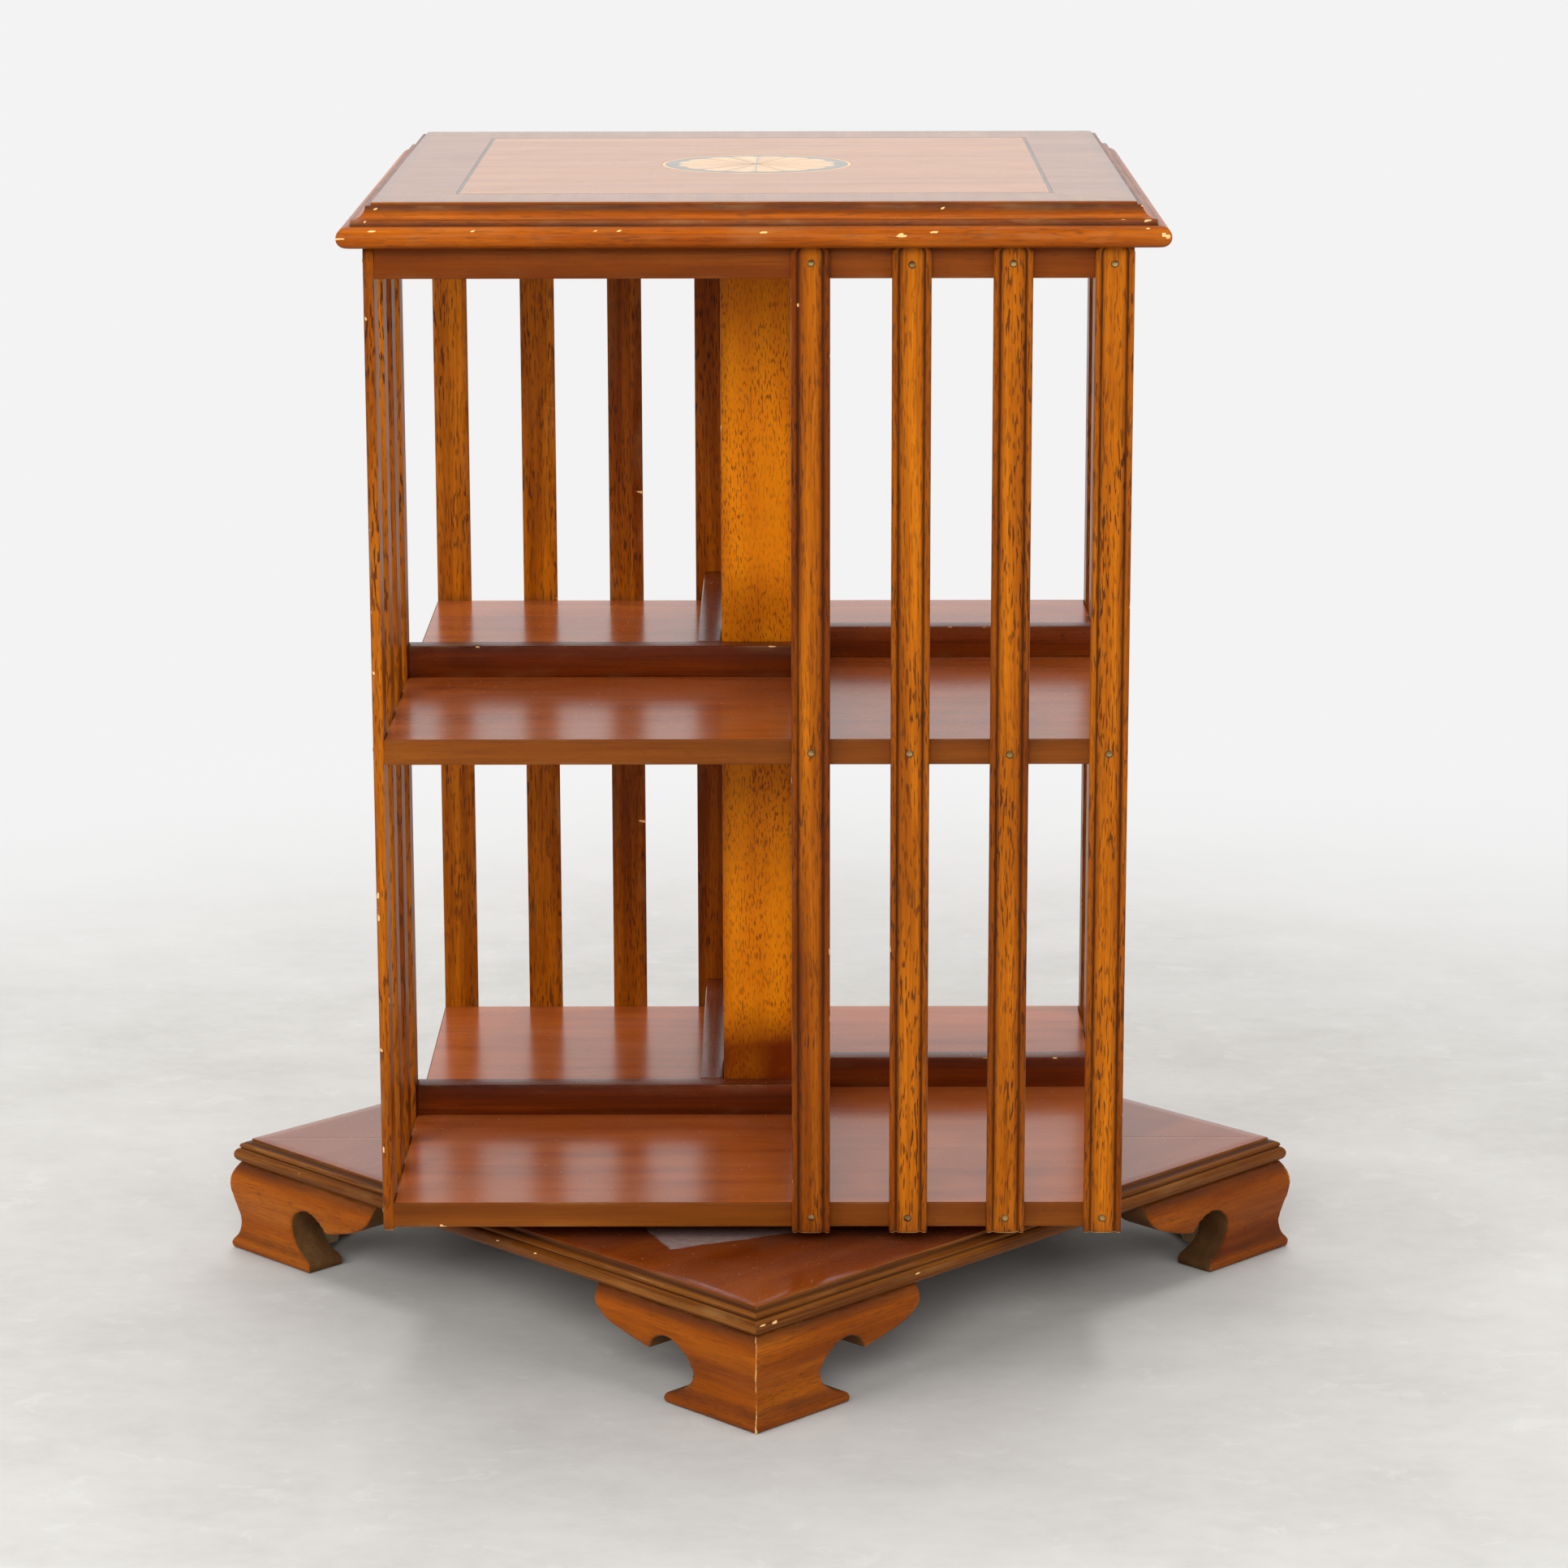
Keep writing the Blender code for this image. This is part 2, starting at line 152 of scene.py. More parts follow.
# ---------------------------------------------------------------- meshes
# Rows of each matrix: the directions along, across and through a board.
GRAIN_X = np.eye(3)
GRAIN_UP = np.array([[0, 0, 1], [1, 0, 0], [0, 1, 0]], float)
GRAIN_UPRIGHT_X = np.array([[1, 0, 0], [0, 0, 1], [0, 1, 0]], float)


def make_object(name, verts, faces, materials, slot, face_mat=None,
                boards=((GRAIN_X, np.zeros(3)),), face_board=None, wear=0.0, dirt=0.0, edge=0.0,
                tint=0.0, body="case", replaces=None, angle=38, turn=0.0):
    """A piece from points in mm.

    gc is each corner's place in its own board, grain along x, in metres."""
    verts = np.asarray(verts, float).reshape(-1, 3)
    mesh = bpy.data.meshes.new(name)
    mesh.from_pydata([tuple(v) for v in (verts * MM)], [],
                     [tuple(int(i) for i in face) for face in faces])
    for material in materials:
        mesh.materials.append(material)
    if face_mat is not None:
        mesh.polygons.foreach_set("material_index", np.asarray(face_mat, np.int32))
    if face_board is None:
        face_board = np.zeros(len(faces), int)
    corner_vert = np.zeros(len(mesh.loops), np.int32)
    mesh.loops.foreach_get("vertex_index", corner_vert)
    totals = np.zeros(len(mesh.polygons), np.int32)
    mesh.polygons.foreach_get("loop_total", totals)
    corner_board = np.repeat(np.asarray(face_board, int), totals)
    axes = np.stack([board[0] for board in boards])[corner_board]
    offsets = np.stack([board[1] for board in boards])[corner_board]
    gc = np.einsum("nij,nj->ni", axes, verts[corner_vert] * MM) + offsets
    data = mesh.attributes.new("gc", "FLOAT_VECTOR", "CORNER").data
    data.foreach_set("vector", gc.astype(np.float32).ravel())
    for key, value in (("wear", wear), ("dirt", dirt), ("edge", edge), ("tint", tint)):
        data = mesh.attributes.new(key, "FLOAT", "POINT").data
        data.foreach_set("value", (np.zeros(len(verts)) + np.ravel(value)).astype(np.float32))
    mesh.validate()
    mesh.shade_smooth()
    mesh.set_sharp_from_angle(angle=math.radians(angle))
    obj = bpy.data.objects.new(name, mesh)
    bpy.context.scene.collection.objects.link(obj)
    mesh.transform(Matrix.Rotation(turn, 4, "Z"))
    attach(obj, body)
    if replaces:
        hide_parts(replaces)
    face_outwards(mesh)


def face_outwards(mesh):
    bm = bmesh.new()
    bm.from_mesh(mesh)
    if bm.calc_volume(signed=True) < 0:
        bmesh.ops.reverse_faces(bm, faces=bm.faces)
        bm.to_mesh(mesh)
    bm.free()


def grid_faces(n, m, closed_n=False, closed_m=True, base=0, flip=False):
    """Quads over n rows of m points."""
    rows = np.arange(n if closed_n else n - 1)
    columns = np.arange(m if closed_m else m - 1)
    row, column = np.meshgrid(rows, columns, indexing="ij")
    row2, column2 = (row + 1) % n, (column + 1) % m
    quads = np.stack([row * m + column, row * m + column2, row2 * m + column2, row2 * m + column],
                     -1).reshape(-1, 4) + base
    return quads[:, ::-1] if flip else quads


def capped_faces(n, m, base=0):
    """Quads over n closed rows of m points, and a cap at each end."""
    first = range(base, base + m)
    last = range(base + (n - 1) * m, base + n * m)
    return [*grid_faces(n, m, base=base), first[::-1], last]


def distances(points):
    """Distance run from the first point to each point."""
    return np.concatenate([[0], np.cumsum(np.linalg.norm(np.diff(points, axis=0), axis=1))])


def section_normals(section):
    """Outward unit normals of a closed counter-clockwise section."""
    across = np.roll(section, -1, 0) - np.roll(section, 1, 0)
    normals = np.stack([across[:, 1], -across[:, 0]], -1)
    return normals / np.maximum(np.linalg.norm(normals, axis=1, keepdims=True), 1e-9)


def sunk(section, depth):
    """The section at each station, cut back by depth (stations by points)."""
    return section[None] - section_normals(section)[None] * depth[..., None]


def board_offset(seed):
    """Where in the wood texture a board is cut from."""
    return np.random.default_rng(seed + 5000).random(3) * 3.0


def rounded_rect(x0, x1, y0, y1, radius, per_mm=0.12, arc=4):
    """Counter-clockwise section with rounded corners, and the arris indices."""
    # centre of each corner, angle its arc starts at, point where the next arc starts
    corners = (
        (x1 - radius, y0 + radius, -90, (x1, y1 - radius)),
        (x1 - radius, y1 - radius, 0, (x0 + radius, y1)),
        (x0 + radius, y1 - radius, 90, (x0, y0 + radius)),
        (x0 + radius, y0 + radius, 180, (x1 - radius, y0)),
    )
    points, arrises = [], []
    for centre_x, centre_y, start, (next_x, next_y) in corners:
        arrises.append(len(points) + arc // 2)
        for k in range(arc + 1):
            angle = math.radians(start + 90 * k / arc)
            points.append((centre_x + radius * math.cos(angle),
                           centre_y + radius * math.sin(angle)))
        x, y = points[-1]
        steps = max(2, int(math.hypot(next_x - x, next_y - y) * per_mm))
        for k in range(1, steps):
            points.append((x + (next_x - x) * k / steps, y + (next_y - y) * k / steps))
    return np.array(points), arrises


def bar(name, x0, x1, y0, y1, z0, z1, seed, material, radius, chips, size, **looks):
    """A strip along X with its arrises and ends eased and worn."""
    ease = 0.6
    length = x1 - x0
    section, corners = rounded_rect(y0, y1, z0, z1, radius)
    around = distances(section)
    count = max(4, int(length / 2.5))
    along = np.concatenate([[0.0, ease * 0.35], np.linspace(ease, length - ease, count),
                            [length - ease * 0.35, length]])
    shrink = np.concatenate([[ease, ease * 0.3], np.zeros(count), [ease * 0.3, ease]])
    arrises = [(around[corner], density, size) for corner, density in zip(corners, chips)]
    depth, pale, edge = wear_field(along, around, arrises, seed, rub=0.05)
    x = np.broadcast_to((x0 + along)[:, None], depth.shape)
    verts = np.dstack([x, sunk(section, depth + shrink[:, None])])
    make_object(name, verts, capped_faces(*depth.shape), [material], "dark_wood",
                boards=[(GRAIN_X, board_offset(seed))], wear=pale, edge=edge, **looks)


# ---------------------------------------------------------------- shader building
class Shader:
    """Short ways to add nodes to a material or a world."""

    def __init__(self, owner):
        owner.use_nodes = True
        self.owner = owner
        self.nodes = owner.node_tree.nodes
        self.links = owner.node_tree.links

    def put(self, value, socket):
        if isinstance(value, bpy.types.NodeSocket):
            self.links.new(value, socket)
        elif socket.type == "RGBA":
            socket.default_value = (*value, 1.0)
        else:
            socket.default_value = value

    def node(self, kind, inputs=None, **properties):
        node = self.nodes.new(kind)
        for key, value in properties.items():
            setattr(node, key, value)
        for key, value in (inputs or {}).items():
            self.put(value, node.inputs[key])
        return node

    def attribute(self, name, output="Fac"):
        return self.node("ShaderNodeAttribute", attribute_name=name).outputs[output]

    def coordinates(self, kind="Object"):
        return self.node("ShaderNodeTexCoord").outputs[kind]

    def axes(self, vector):
        return self.node("ShaderNodeSeparateXYZ", {0: vector}).outputs

    def math(self, operation, first, second, clamp=False):
        return self.node("ShaderNodeMath", {0: first, 1: second}, operation=operation,
                         use_clamp=clamp).outputs[0]

    def add(self, first, second, clamp=False):
        return self.math("ADD", first, second, clamp)

    def sub(self, first, second):
        return self.math("SUBTRACT", first, second)

    def mul(self, first, second, clamp=False):
        return self.math("MULTIPLY", first, second, clamp)

    def noise(self, vector, scale, shift=(0, 0, 0), detail=2.0, rough=0.5, warp=0.0):
        """Noise; the last number of scale is repeated for the axes it leaves out."""
        scale = (*scale, scale[-1], scale[-1])[:3]
        mapping = self.node("ShaderNodeMapping",
                            {"Vector": vector, "Scale": scale, "Location": shift})
        return self.node("ShaderNodeTexNoise", {
            "Vector": mapping.outputs[0], "Scale": 1.0, "Detail": detail, "Roughness": rough,
            "Distortion": warp}).outputs[0]

    def step(self, value, over, to=(0.0, 1.0), shape="SMOOTHSTEP"):
        """Map the range over onto the range to."""
        return self.node("ShaderNodeMapRange", {
            "Value": value, "From Min": over[0], "From Max": over[1], "To Min": to[0],
            "To Max": to[1]}, interpolation_type=shape).outputs[0]

    def mix(self, factor, first, second):
        return self.node("ShaderNodeMix", {0: factor, 6: first, 7: second},
                         data_type="RGBA").outputs[2]

    def ramp(self, value, stops):
        node = self.node("ShaderNodeValToRGB", {0: value})
        elements = node.color_ramp.elements
        elements.new(0.5)
        for element, (position, colour) in zip(elements, stops):
            element.position = position
            element.color = (*colour, 1.0)
        return node.outputs[0]

    def bump(self, height, strength, distance):
        return self.node("ShaderNodeBump", {"Height": height, "Strength": strength,
                                            "Distance": distance}).outputs[0]

    def finish(self, colour, rough, normal, coat=0.0, coat_rough=0.15, metallic=0.0, spec=0.5):
        surface = self.node("ShaderNodeBsdfPrincipled", {
            "Base Color": colour, "Roughness": rough, "Metallic": metallic, "IOR": 1.5,
            "Specular IOR Level": spec, "Coat Weight": coat, "Coat Roughness": coat_rough,
            "Normal": normal})
        self.node("ShaderNodeOutputMaterial", {0: surface.outputs[0]})
        return self.owner


def new_material(name):
    tree = Shader(bpy.data.materials.new(name))
    tree.nodes.clear()
    return tree


# ---------------------------------------------------------------- wood
PALE = (0.70, 0.42, 0.16)       # bare wood where the finish is chipped


def add_dust(tree, colour, roughness, dust):
    """Film, specks and crumbs of dust on faces that look up."""
    geometry = tree.node("ShaderNodeNewGeometry")
    facing = tree.step(tree.axes(geometry.outputs["Normal"])[2], over=(0.6, 0.98))
    place = tree.coordinates()
    film = tree.step(tree.noise(place, scale=(22.0,), detail=4.0, rough=0.6), over=(0.3, 0.75))
    specks = tree.step(tree.noise(place, scale=(1300.0,), detail=1.0), over=(0.70, 0.78))
    crumbs = tree.step(tree.noise(place, scale=(420.0,), shift=(4, 4, 4), detail=1.0),
                       over=(0.765, 0.80))
    lint = tree.math("MAXIMUM", tree.mul(specks, 0.35), crumbs)
    amount = tree.add(tree.mul(film, 0.05 * dust), tree.mul(lint, 0.5 * dust))
    amount = tree.mul(facing, amount, clamp=True)
    colour = tree.mix(amount, colour, (0.50, 0.40, 0.34))
    return colour, tree.add(roughness, tree.mul(amount, 0.35), clamp=True)


def add_grey_square(tree, colour, roughness, square):
    """A dull pale grey square on the upward face, its edges wavy."""
    place = tree.coordinates()
    x, y, z = tree.axes(place)
    dx = tree.sub(x, square["x"])
    dy = tree.sub(y, square["y"])
    cos, sin = math.cos(square["angle"]), math.sin(square["angle"])
    wobble = tree.noise(place, scale=(60.0,), detail=3.0)
    wobble = tree.mul(tree.sub(wobble, 0.5), 0.006)
    along = tree.add(tree.add(tree.mul(dx, cos), tree.mul(dy, sin)), wobble)
    across = tree.add(tree.sub(tree.mul(dy, cos), tree.mul(dx, sin)), wobble)
    near, far = (-0.0008, 0.0022), (square["side"], square["side"] - 0.004)
    inside = tree.mul(tree.step(along, over=near), tree.step(across, over=near))
    inside = tree.mul(inside, tree.mul(tree.step(along, over=far), tree.step(across, over=far)))
    inside = tree.mul(inside, tree.step(z, over=(0.0770, 0.0774)))
    lint = tree.noise(place, scale=(260.0,), detail=4.0, rough=0.65)
    inside = tree.mul(inside, tree.step(lint, over=(0.25, 0.75), to=(0.35, 0.75)))
    colour = tree.mix(inside, colour, (0.44, 0.385, 0.370))
    return colour, tree.add(roughness, tree.mul(inside, 0.4), clamp=True)


def wood(name, *, dark, mid, light, rough, pore=(0.05, 0.02, 0.008), figure=(3.0, 70.0),
         fibre=(22.0, 900.0), pores=(190.0, 1500.0), pore_range=(0.62, 0.75), pore_amount=0.6,
         fibre_amount=0.35, coat=0.0, coat_rough=0.2, grime_and_shade=(0.05, 0.018, 0.008), dust=0.0,
         mottle=0.12, bump_strength=0.18, spec=0.5, uneven_sheen=0.14, peel_bump=0.35,
         own_coords=False, grey_square=None):
    """Polished wood. figure, fibre and pores are noise scales along and across the grain;
    pore_range is the noise level over which pores appear."""
    tree = new_material(name)
    grain = tree.coordinates() if own_coords else tree.attribute("gc", "Vector")
    wear, dirt, tint, edge = map(tree.attribute, ("wear", "dirt", "tint", "edge"))

    # the grain wanders a little sideways
    sway = tree.mul(tree.noise(grain, scale=(1.6, 9.0)), 0.02)
    sway = tree.node("ShaderNodeCombineXYZ", {1: sway}).outputs[0]
    wavy = tree.node("ShaderNodeVectorMath", {0: grain, 1: sway}, operation="ADD").outputs[0]

    # figure, fibres and pores
    bands = tree.noise(wavy, scale=figure, detail=4.0, rough=0.55)
    broad = tree.noise(wavy, scale=(4.0, 14.0), shift=(3.1, 0.4, 2.2))
    fibres = tree.noise(wavy, scale=fibre, detail=3.0, rough=0.6)
    pits = tree.noise(wavy, scale=pores, shift=(0.7, 1.9, 4.1), detail=1.0, rough=0.4)
    pits = tree.step(pits, over=pore_range)
    uneven = tree.step(tree.noise(wavy, scale=(12.0, 60.0), shift=(9.0, 5.0, 1.0)),
                       over=(0.3, 0.7), to=(0.35, 1.0))
    value = tree.add(tree.mul(bands, 0.75), tree.mul(broad, 0.25))
    value = tree.add(value, tree.mul(tint, 0.12))
    colour = tree.ramp(value, [(0.30, dark), (0.50, mid), (0.70, light)])
    colour = tree.mix(tree.step(fibres, over=(0.40, 0.75), to=(0.0, fibre_amount)), colour, dark)
    colour = tree.mix(tree.mul(tree.mul(pits, uneven), pore_amount), colour, pore)

    # cloudy darkening, then painted shade and grime where the dirt attribute is set
    cloud = tree.noise(grain, scale=(26.0, 30.0), shift=(1.0, 7.0, 3.0), detail=3.0)
    colour = tree.mix(tree.step(cloud, over=(0.35, 0.75), to=(0.0, mottle)), colour,
                      [channel * 0.45 for channel in mid])
    patchy = tree.step(cloud, over=(0.2, 0.7), to=(0.75, 1.0))
    colour = tree.mix(tree.mul(dirt, patchy, clamp=True), colour, grime_and_shade)

    # chips with ragged rims, small nicks near the arrises, and arrises rubbed paler
    ragged = tree.noise(grain, scale=(420.0, 700.0))
    worn = tree.add(wear, tree.mul(tree.sub(ragged, 0.5), 0.55))
    worn = tree.step(worn, over=(0.42, 0.62))
    nick = tree.noise(grain, scale=(150.0, 520.0), shift=(2.0, 6.0, 8.0), detail=2.5, rough=0.6)
    nick = tree.add(nick, tree.mul(tree.sub(edge, 1.0), 0.30))
    worn = tree.math("MAXIMUM", worn, tree.step(nick, over=(0.665, 0.69), to=(0.0, 0.9)))
    rub = tree.noise(grain, scale=(30.0, 90.0), detail=3.0)
    rub = tree.mul(edge, tree.step(rub, over=(0.45, 0.78), to=(0.0, 0.26)))
    colour = tree.mix(rub, colour, [channel * 0.75 for channel in PALE])
    bare = tree.mix(ragged, PALE, [min(1.0, channel * 1.35 + 0.03) for channel in PALE])
    colour = tree.mix(worn, colour, bare)

    # sheen
    roughness = tree.add(rough, tree.mul(tree.sub(cloud, 0.5), uneven_sheen))
    roughness = tree.add(roughness, tree.mul(worn, 0.25), clamp=True)
    coat_weight = tree.mul(coat, tree.sub(1.0, worn), clamp=True)
    if dust:
        colour, roughness = add_dust(tree, colour, roughness, dust)
    if grey_square:
        colour, roughness = add_grey_square(tree, colour, roughness, grey_square)

    # relief of pores, fibres, finish and chips
    peel = tree.noise(grain, scale=(240.0, 300.0))
    height = tree.add(tree.mul(pits, -0.55), tree.mul(fibres, 0.22))
    height = tree.add(height, tree.mul(peel, peel_bump))
    height = tree.add(height, tree.mul(tree.mul(ragged, worn), -0.9))
    normal = tree.bump(height, strength=bump_strength, distance=0.00035)
    return tree.finish(colour, roughness, normal, coat=coat_weight, coat_rough=coat_rough,
                       spec=spec)


def metal(name, colour, rough, tarnish, scale=400.0):
    tree = new_material(name)
    place = tree.coordinates()
    fine = tree.noise(place, scale=(scale,), detail=3.0)
    broad = tree.noise(place, scale=(60.0,), detail=3.0)
    colour = tree.mix(tree.step(broad, over=(0.35, 0.7), to=(0.0, 0.7)), colour, tarnish)
    colour = tree.mix(tree.step(fine, over=(0.55, 0.8), to=(0.0, 0.5)), colour, tarnish)
    dirt = tree.attribute("dirt")
    colour = tree.mix(tree.mul(dirt, 0.95), colour, (0.035, 0.012, 0.005))
    roughness = tree.add(rough, tree.mul(fine, 0.2))
    roughness = tree.add(roughness, tree.mul(dirt, 0.3))
    return tree.finish(colour, roughness, tree.bump(fine, strength=0.25, distance=0.0001),
                       metallic=tree.sub(1.0, tree.mul(dirt, 0.9)))


# ---------------------------------------------------------------- materials
SLAT_WOOD = wood(
    "slat_wood", dark=(0.152, 0.029, 0.0015), mid=(0.330, 0.082, 0.002),
    light=(0.535, 0.150, 0.0035), pore=(0.042, 0.011, 0.005), figure=(3.5, 110.0),
    fibre=(16.0, 900.0), pores=(105.0, 880.0), pore_range=(0.545, 0.63), pore_amount=0.9,
    fibre_amount=0.55, rough=0.33, spec=0.08)
COLUMN_WOOD = wood(
    "column_wood", dark=(0.455, 0.104, 0.001), mid=(0.675, 0.186, 0.001),
    light=(0.810, 0.268, 0.0015), pore=(0.120, 0.026, 0.003), figure=(5.0, 36.0),
    pores=(215.0, 980.0), pore_range=(0.560, 0.62), pore_amount=0.8, fibre_amount=0.14,
    rough=0.34, spec=0.08, grime_and_shade=(0.11, 0.011, 0.0005))
SHELF_WOOD = wood(
    "shelf_wood", dark=(0.270, 0.052, 0.007), mid=(0.400, 0.088, 0.012),
    light=(0.480, 0.115, 0.018), figure=(6.0, 55.0), pores=(160.0, 1500.0),
    pore_range=(0.60, 0.72), pore_amount=0.40, rough=0.19, coat=0.05, dust=1.0,
    bump_strength=0.06, mottle=0.06, spec=0.40, uneven_sheen=0.06, peel_bump=0.2)
UNDER_WOOD = wood(
    "shelf_underside_wood", dark=(0.190, 0.040, 0.005), mid=(0.290, 0.068, 0.009),
    light=(0.370, 0.095, 0.014), figure=(6.0, 55.0), pores=(160.0, 1300.0),
    pore_range=(0.58, 0.70), pore_amount=0.5, fibre_amount=0.4, rough=0.5, spec=0.12, mottle=0.1)
EDGE_WOOD = wood(
    "shelf_edge_wood", dark=(0.108, 0.025, 0.002), mid=(0.190, 0.048, 0.004),
    light=(0.265, 0.076, 0.007), figure=(3.0, 60.0), pore_amount=0.35, fibre_amount=0.45,
    rough=0.44, spec=0.12)
DARK_WOOD = wood(
    "dark_wood", dark=(0.055, 0.008, 0.0008), mid=(0.115, 0.0165, 0.0008),
    light=(0.200, 0.036, 0.0015), pore=(0.018, 0.004, 0.001), figure=(3.0, 110.0),
    fibre=(10.0, 700.0), fibre_amount=0.6, rough=0.26, dust=0.9, spec=0.2)
FRIEZE_WOOD = wood(
    "frieze_wood", dark=(0.110, 0.021, 0.001), mid=(0.185, 0.038, 0.002),
    light=(0.260, 0.064, 0.004), figure=(2.5, 50.0), pore_amount=0.5, fibre_amount=0.5,
    rough=0.38, spec=0.10)
NOSE_WOOD = wood(
    "top_edge_wood", dark=(0.165, 0.028, 0.001), mid=(0.325, 0.068, 0.002),
    light=(0.470, 0.122, 0.006), figure=(4.0, 120.0), fibre=(14.0, 600.0), pores=(90.0, 1000.0),
    pore_range=(0.57, 0.66), pore_amount=0.5, fibre_amount=0.5, rough=0.27, spec=0.10)
# shared by the panel and the band of the top
TOP_FINISH = dict(
    pores=(150.0, 1200.0), pore_range=(0.60, 0.70), rough=0.28, coat=0.42, coat_rough=0.15,
    dust=0.7, bump_strength=0.05, mottle=0.08, uneven_sheen=0.08)
TOP_WOOD = wood(
    "top_panel_wood", dark=(0.260, 0.085, 0.013), mid=(0.370, 0.128, 0.020),
    light=(0.450, 0.170, 0.030), figure=(3.0, 60.0), pore_amount=0.5, fibre_amount=0.40,
    **TOP_FINISH)
BAND_WOOD = wood(
    "top_band_wood", dark=(0.160, 0.052, 0.017), mid=(0.235, 0.082, 0.027),
    light=(0.300, 0.115, 0.038), figure=(3.0, 90.0), fibre_amount=0.5, **TOP_FINISH)
STRING_WOOD = wood(
    "string_wood", dark=(0.060, 0.045, 0.035), mid=(0.085, 0.068, 0.055), light=(0.12, 0.09, 0.07),
    rough=0.34, coat=0.5, pore_amount=0.2)
BASE_WOOD = wood(
    "base_wood", dark=(0.150, 0.024, 0.002), mid=(0.205, 0.036, 0.003),
    light=(0.255, 0.052, 0.005), figure=(5.0, 45.0), pores=(150.0, 1500.0),
    pore_range=(0.62, 0.74), pore_amount=0.4, fibre_amount=0.3, rough=0.20, coat=0.22, dust=0.9,
    bump_strength=0.05, mottle=0.06, spec=0.46, uneven_sheen=0.06, peel_bump=0.2,
    # corner, turn and side of the grey square, in metres
    grey_square=dict(x=-0.055, y=-0.238, angle=math.radians(23.4), side=0.285))
MOULD_WOOD = wood(
    "base_mould_wood", dark=(0.075, 0.019, 0.002), mid=(0.180, 0.055, 0.007),
    light=(0.330, 0.125, 0.020), figure=(2.5, 300.0), fibre=(7.0, 900.0), fibre_amount=0.85,
    rough=0.33, spec=0.09)
FOOT_WOOD = wood(
    "foot_wood", dark=(0.140, 0.024, 0.0015), mid=(0.310, 0.070, 0.0025),
    light=(0.470, 0.128, 0.006), figure=(5.0, 60.0), pores=(120.0, 1100.0),
    pore_range=(0.58, 0.68), pore_amount=0.55, fibre_amount=0.5, rough=0.27, spec=0.075)
INSIDE_WOOD = wood(
    "foot_inside_wood", dark=(0.070, 0.030, 0.010), mid=(0.120, 0.056, 0.020),
    light=(0.18, 0.09, 0.035), rough=0.75, figure=(4.0, 60.0), fibre_amount=0.6, spec=0.06)
RAW_WOOD = wood(
    "raw_wood", dark=(0.300, 0.180, 0.080), mid=(0.42, 0.28, 0.14), light=(0.52, 0.37, 0.2),
    rough=0.7, figure=(60.0, 60.0), fibre=(900.0, 16.0), pores=(900.0, 90.0),
    pore_range=(0.6, 0.7), pore_amount=0.3, own_coords=True)
INLAY_FINISH = dict(
    pore_amount=0.3, rough=0.30, coat=0.7, coat_rough=0.16, dust=0.6, bump_strength=0.07)
CREAM = wood(
    "cream_inlay", dark=(0.520, 0.240, 0.035), mid=(0.700, 0.360, 0.070),
    light=(0.780, 0.450, 0.120), figure=(8.0, 90.0), pore=(0.25, 0.12, 0.04), fibre_amount=0.3,
    grime_and_shade=(0.26, 0.085, 0.015), **INLAY_FINISH)
EBONY = wood(
    "ebony_inlay", dark=(0.050, 0.044, 0.030), mid=(0.085, 0.075, 0.050), light=(0.12, 0.10, 0.07),
    **INLAY_FINISH)
BRASS = metal("pin_brass", colour=(0.62, 0.44, 0.16), rough=0.28, tarnish=(0.20, 0.12, 0.045),
              scale=900.0)
WASHER = metal("washer_brass", colour=(0.60, 0.42, 0.18), rough=0.35, tarnish=(0.28, 0.18, 0.08))
STEEL = metal("turned_steel", colour=(0.50, 0.50, 0.51), rough=0.32, tarnish=(0.24, 0.22, 0.21))


# ---------------------------------------------------------------- slats
# Distances in from a slat's edge to the points of its moulded face.
FACE_CUTS = [0.15, 0.45, 0.9, 1.5, 2.1, 2.7, 3.2, 3.55, 3.85, 4.25, 4.6, 4.85, 5.4, 6.4, 7.8, 9.6,
             12.0]
SHOULDER = 4.2                              # radius of the shoulders at the top of a slat
SLAT_CHIPS = {("left", 4): 16.0, ("front", 1): 8.0}                     # others 3
# the back slats are painted darker towards the middle, painted shade where the top and case keep
# the light off them
SLAT_TINTS_AND_SHADE = {("back", 1): -1.25, ("back", 2): -0.75, ("back", 3): 0.40, ("back", 4): 0.55,
              ("front", 1): -0.85}                                      # others at random


def slat_height(across, width):
    """Face of a slat: a bead at each side of a wide rounded centre, with a groove between."""
    x = min(across, width - across)
    if x < 3.7:
        q = (x - 1.85) / 1.95
        return SLAT_THICK - 1.9 + 1.75 * math.sqrt(max(0.0, 1 - q * q))
    if x < 4.7:
        return SLAT_THICK - 1.95
    q = (width / 2 - x) / (width / 2 - 4.7)
    return SLAT_THICK - 1.45 + 1.45 * (1 - q ** 4)


def slat_section(width):
    """Counter-clockwise (across, outward): 4 back points, a side, 33 face points, a side."""
    across = FACE_CUTS + [width - cut for cut in reversed(FACE_CUTS[:-1])]
    left = [(0.12, 0.4), (0.0, 2.2), (0.0, SLAT_THICK - 3.0)]
    face = [(x, slat_height(x, width)) for x in across]
    right = [(width, SLAT_THICK - 3.0), (width, 2.2), (width - 0.12, 0.4)]
    back = [(width - 0.4, 0.0), (width * 0.66, 0.0), (width * 0.33, 0.0), (0.4, 0.0)]
    return np.array(left + face + right + back)[::-1]


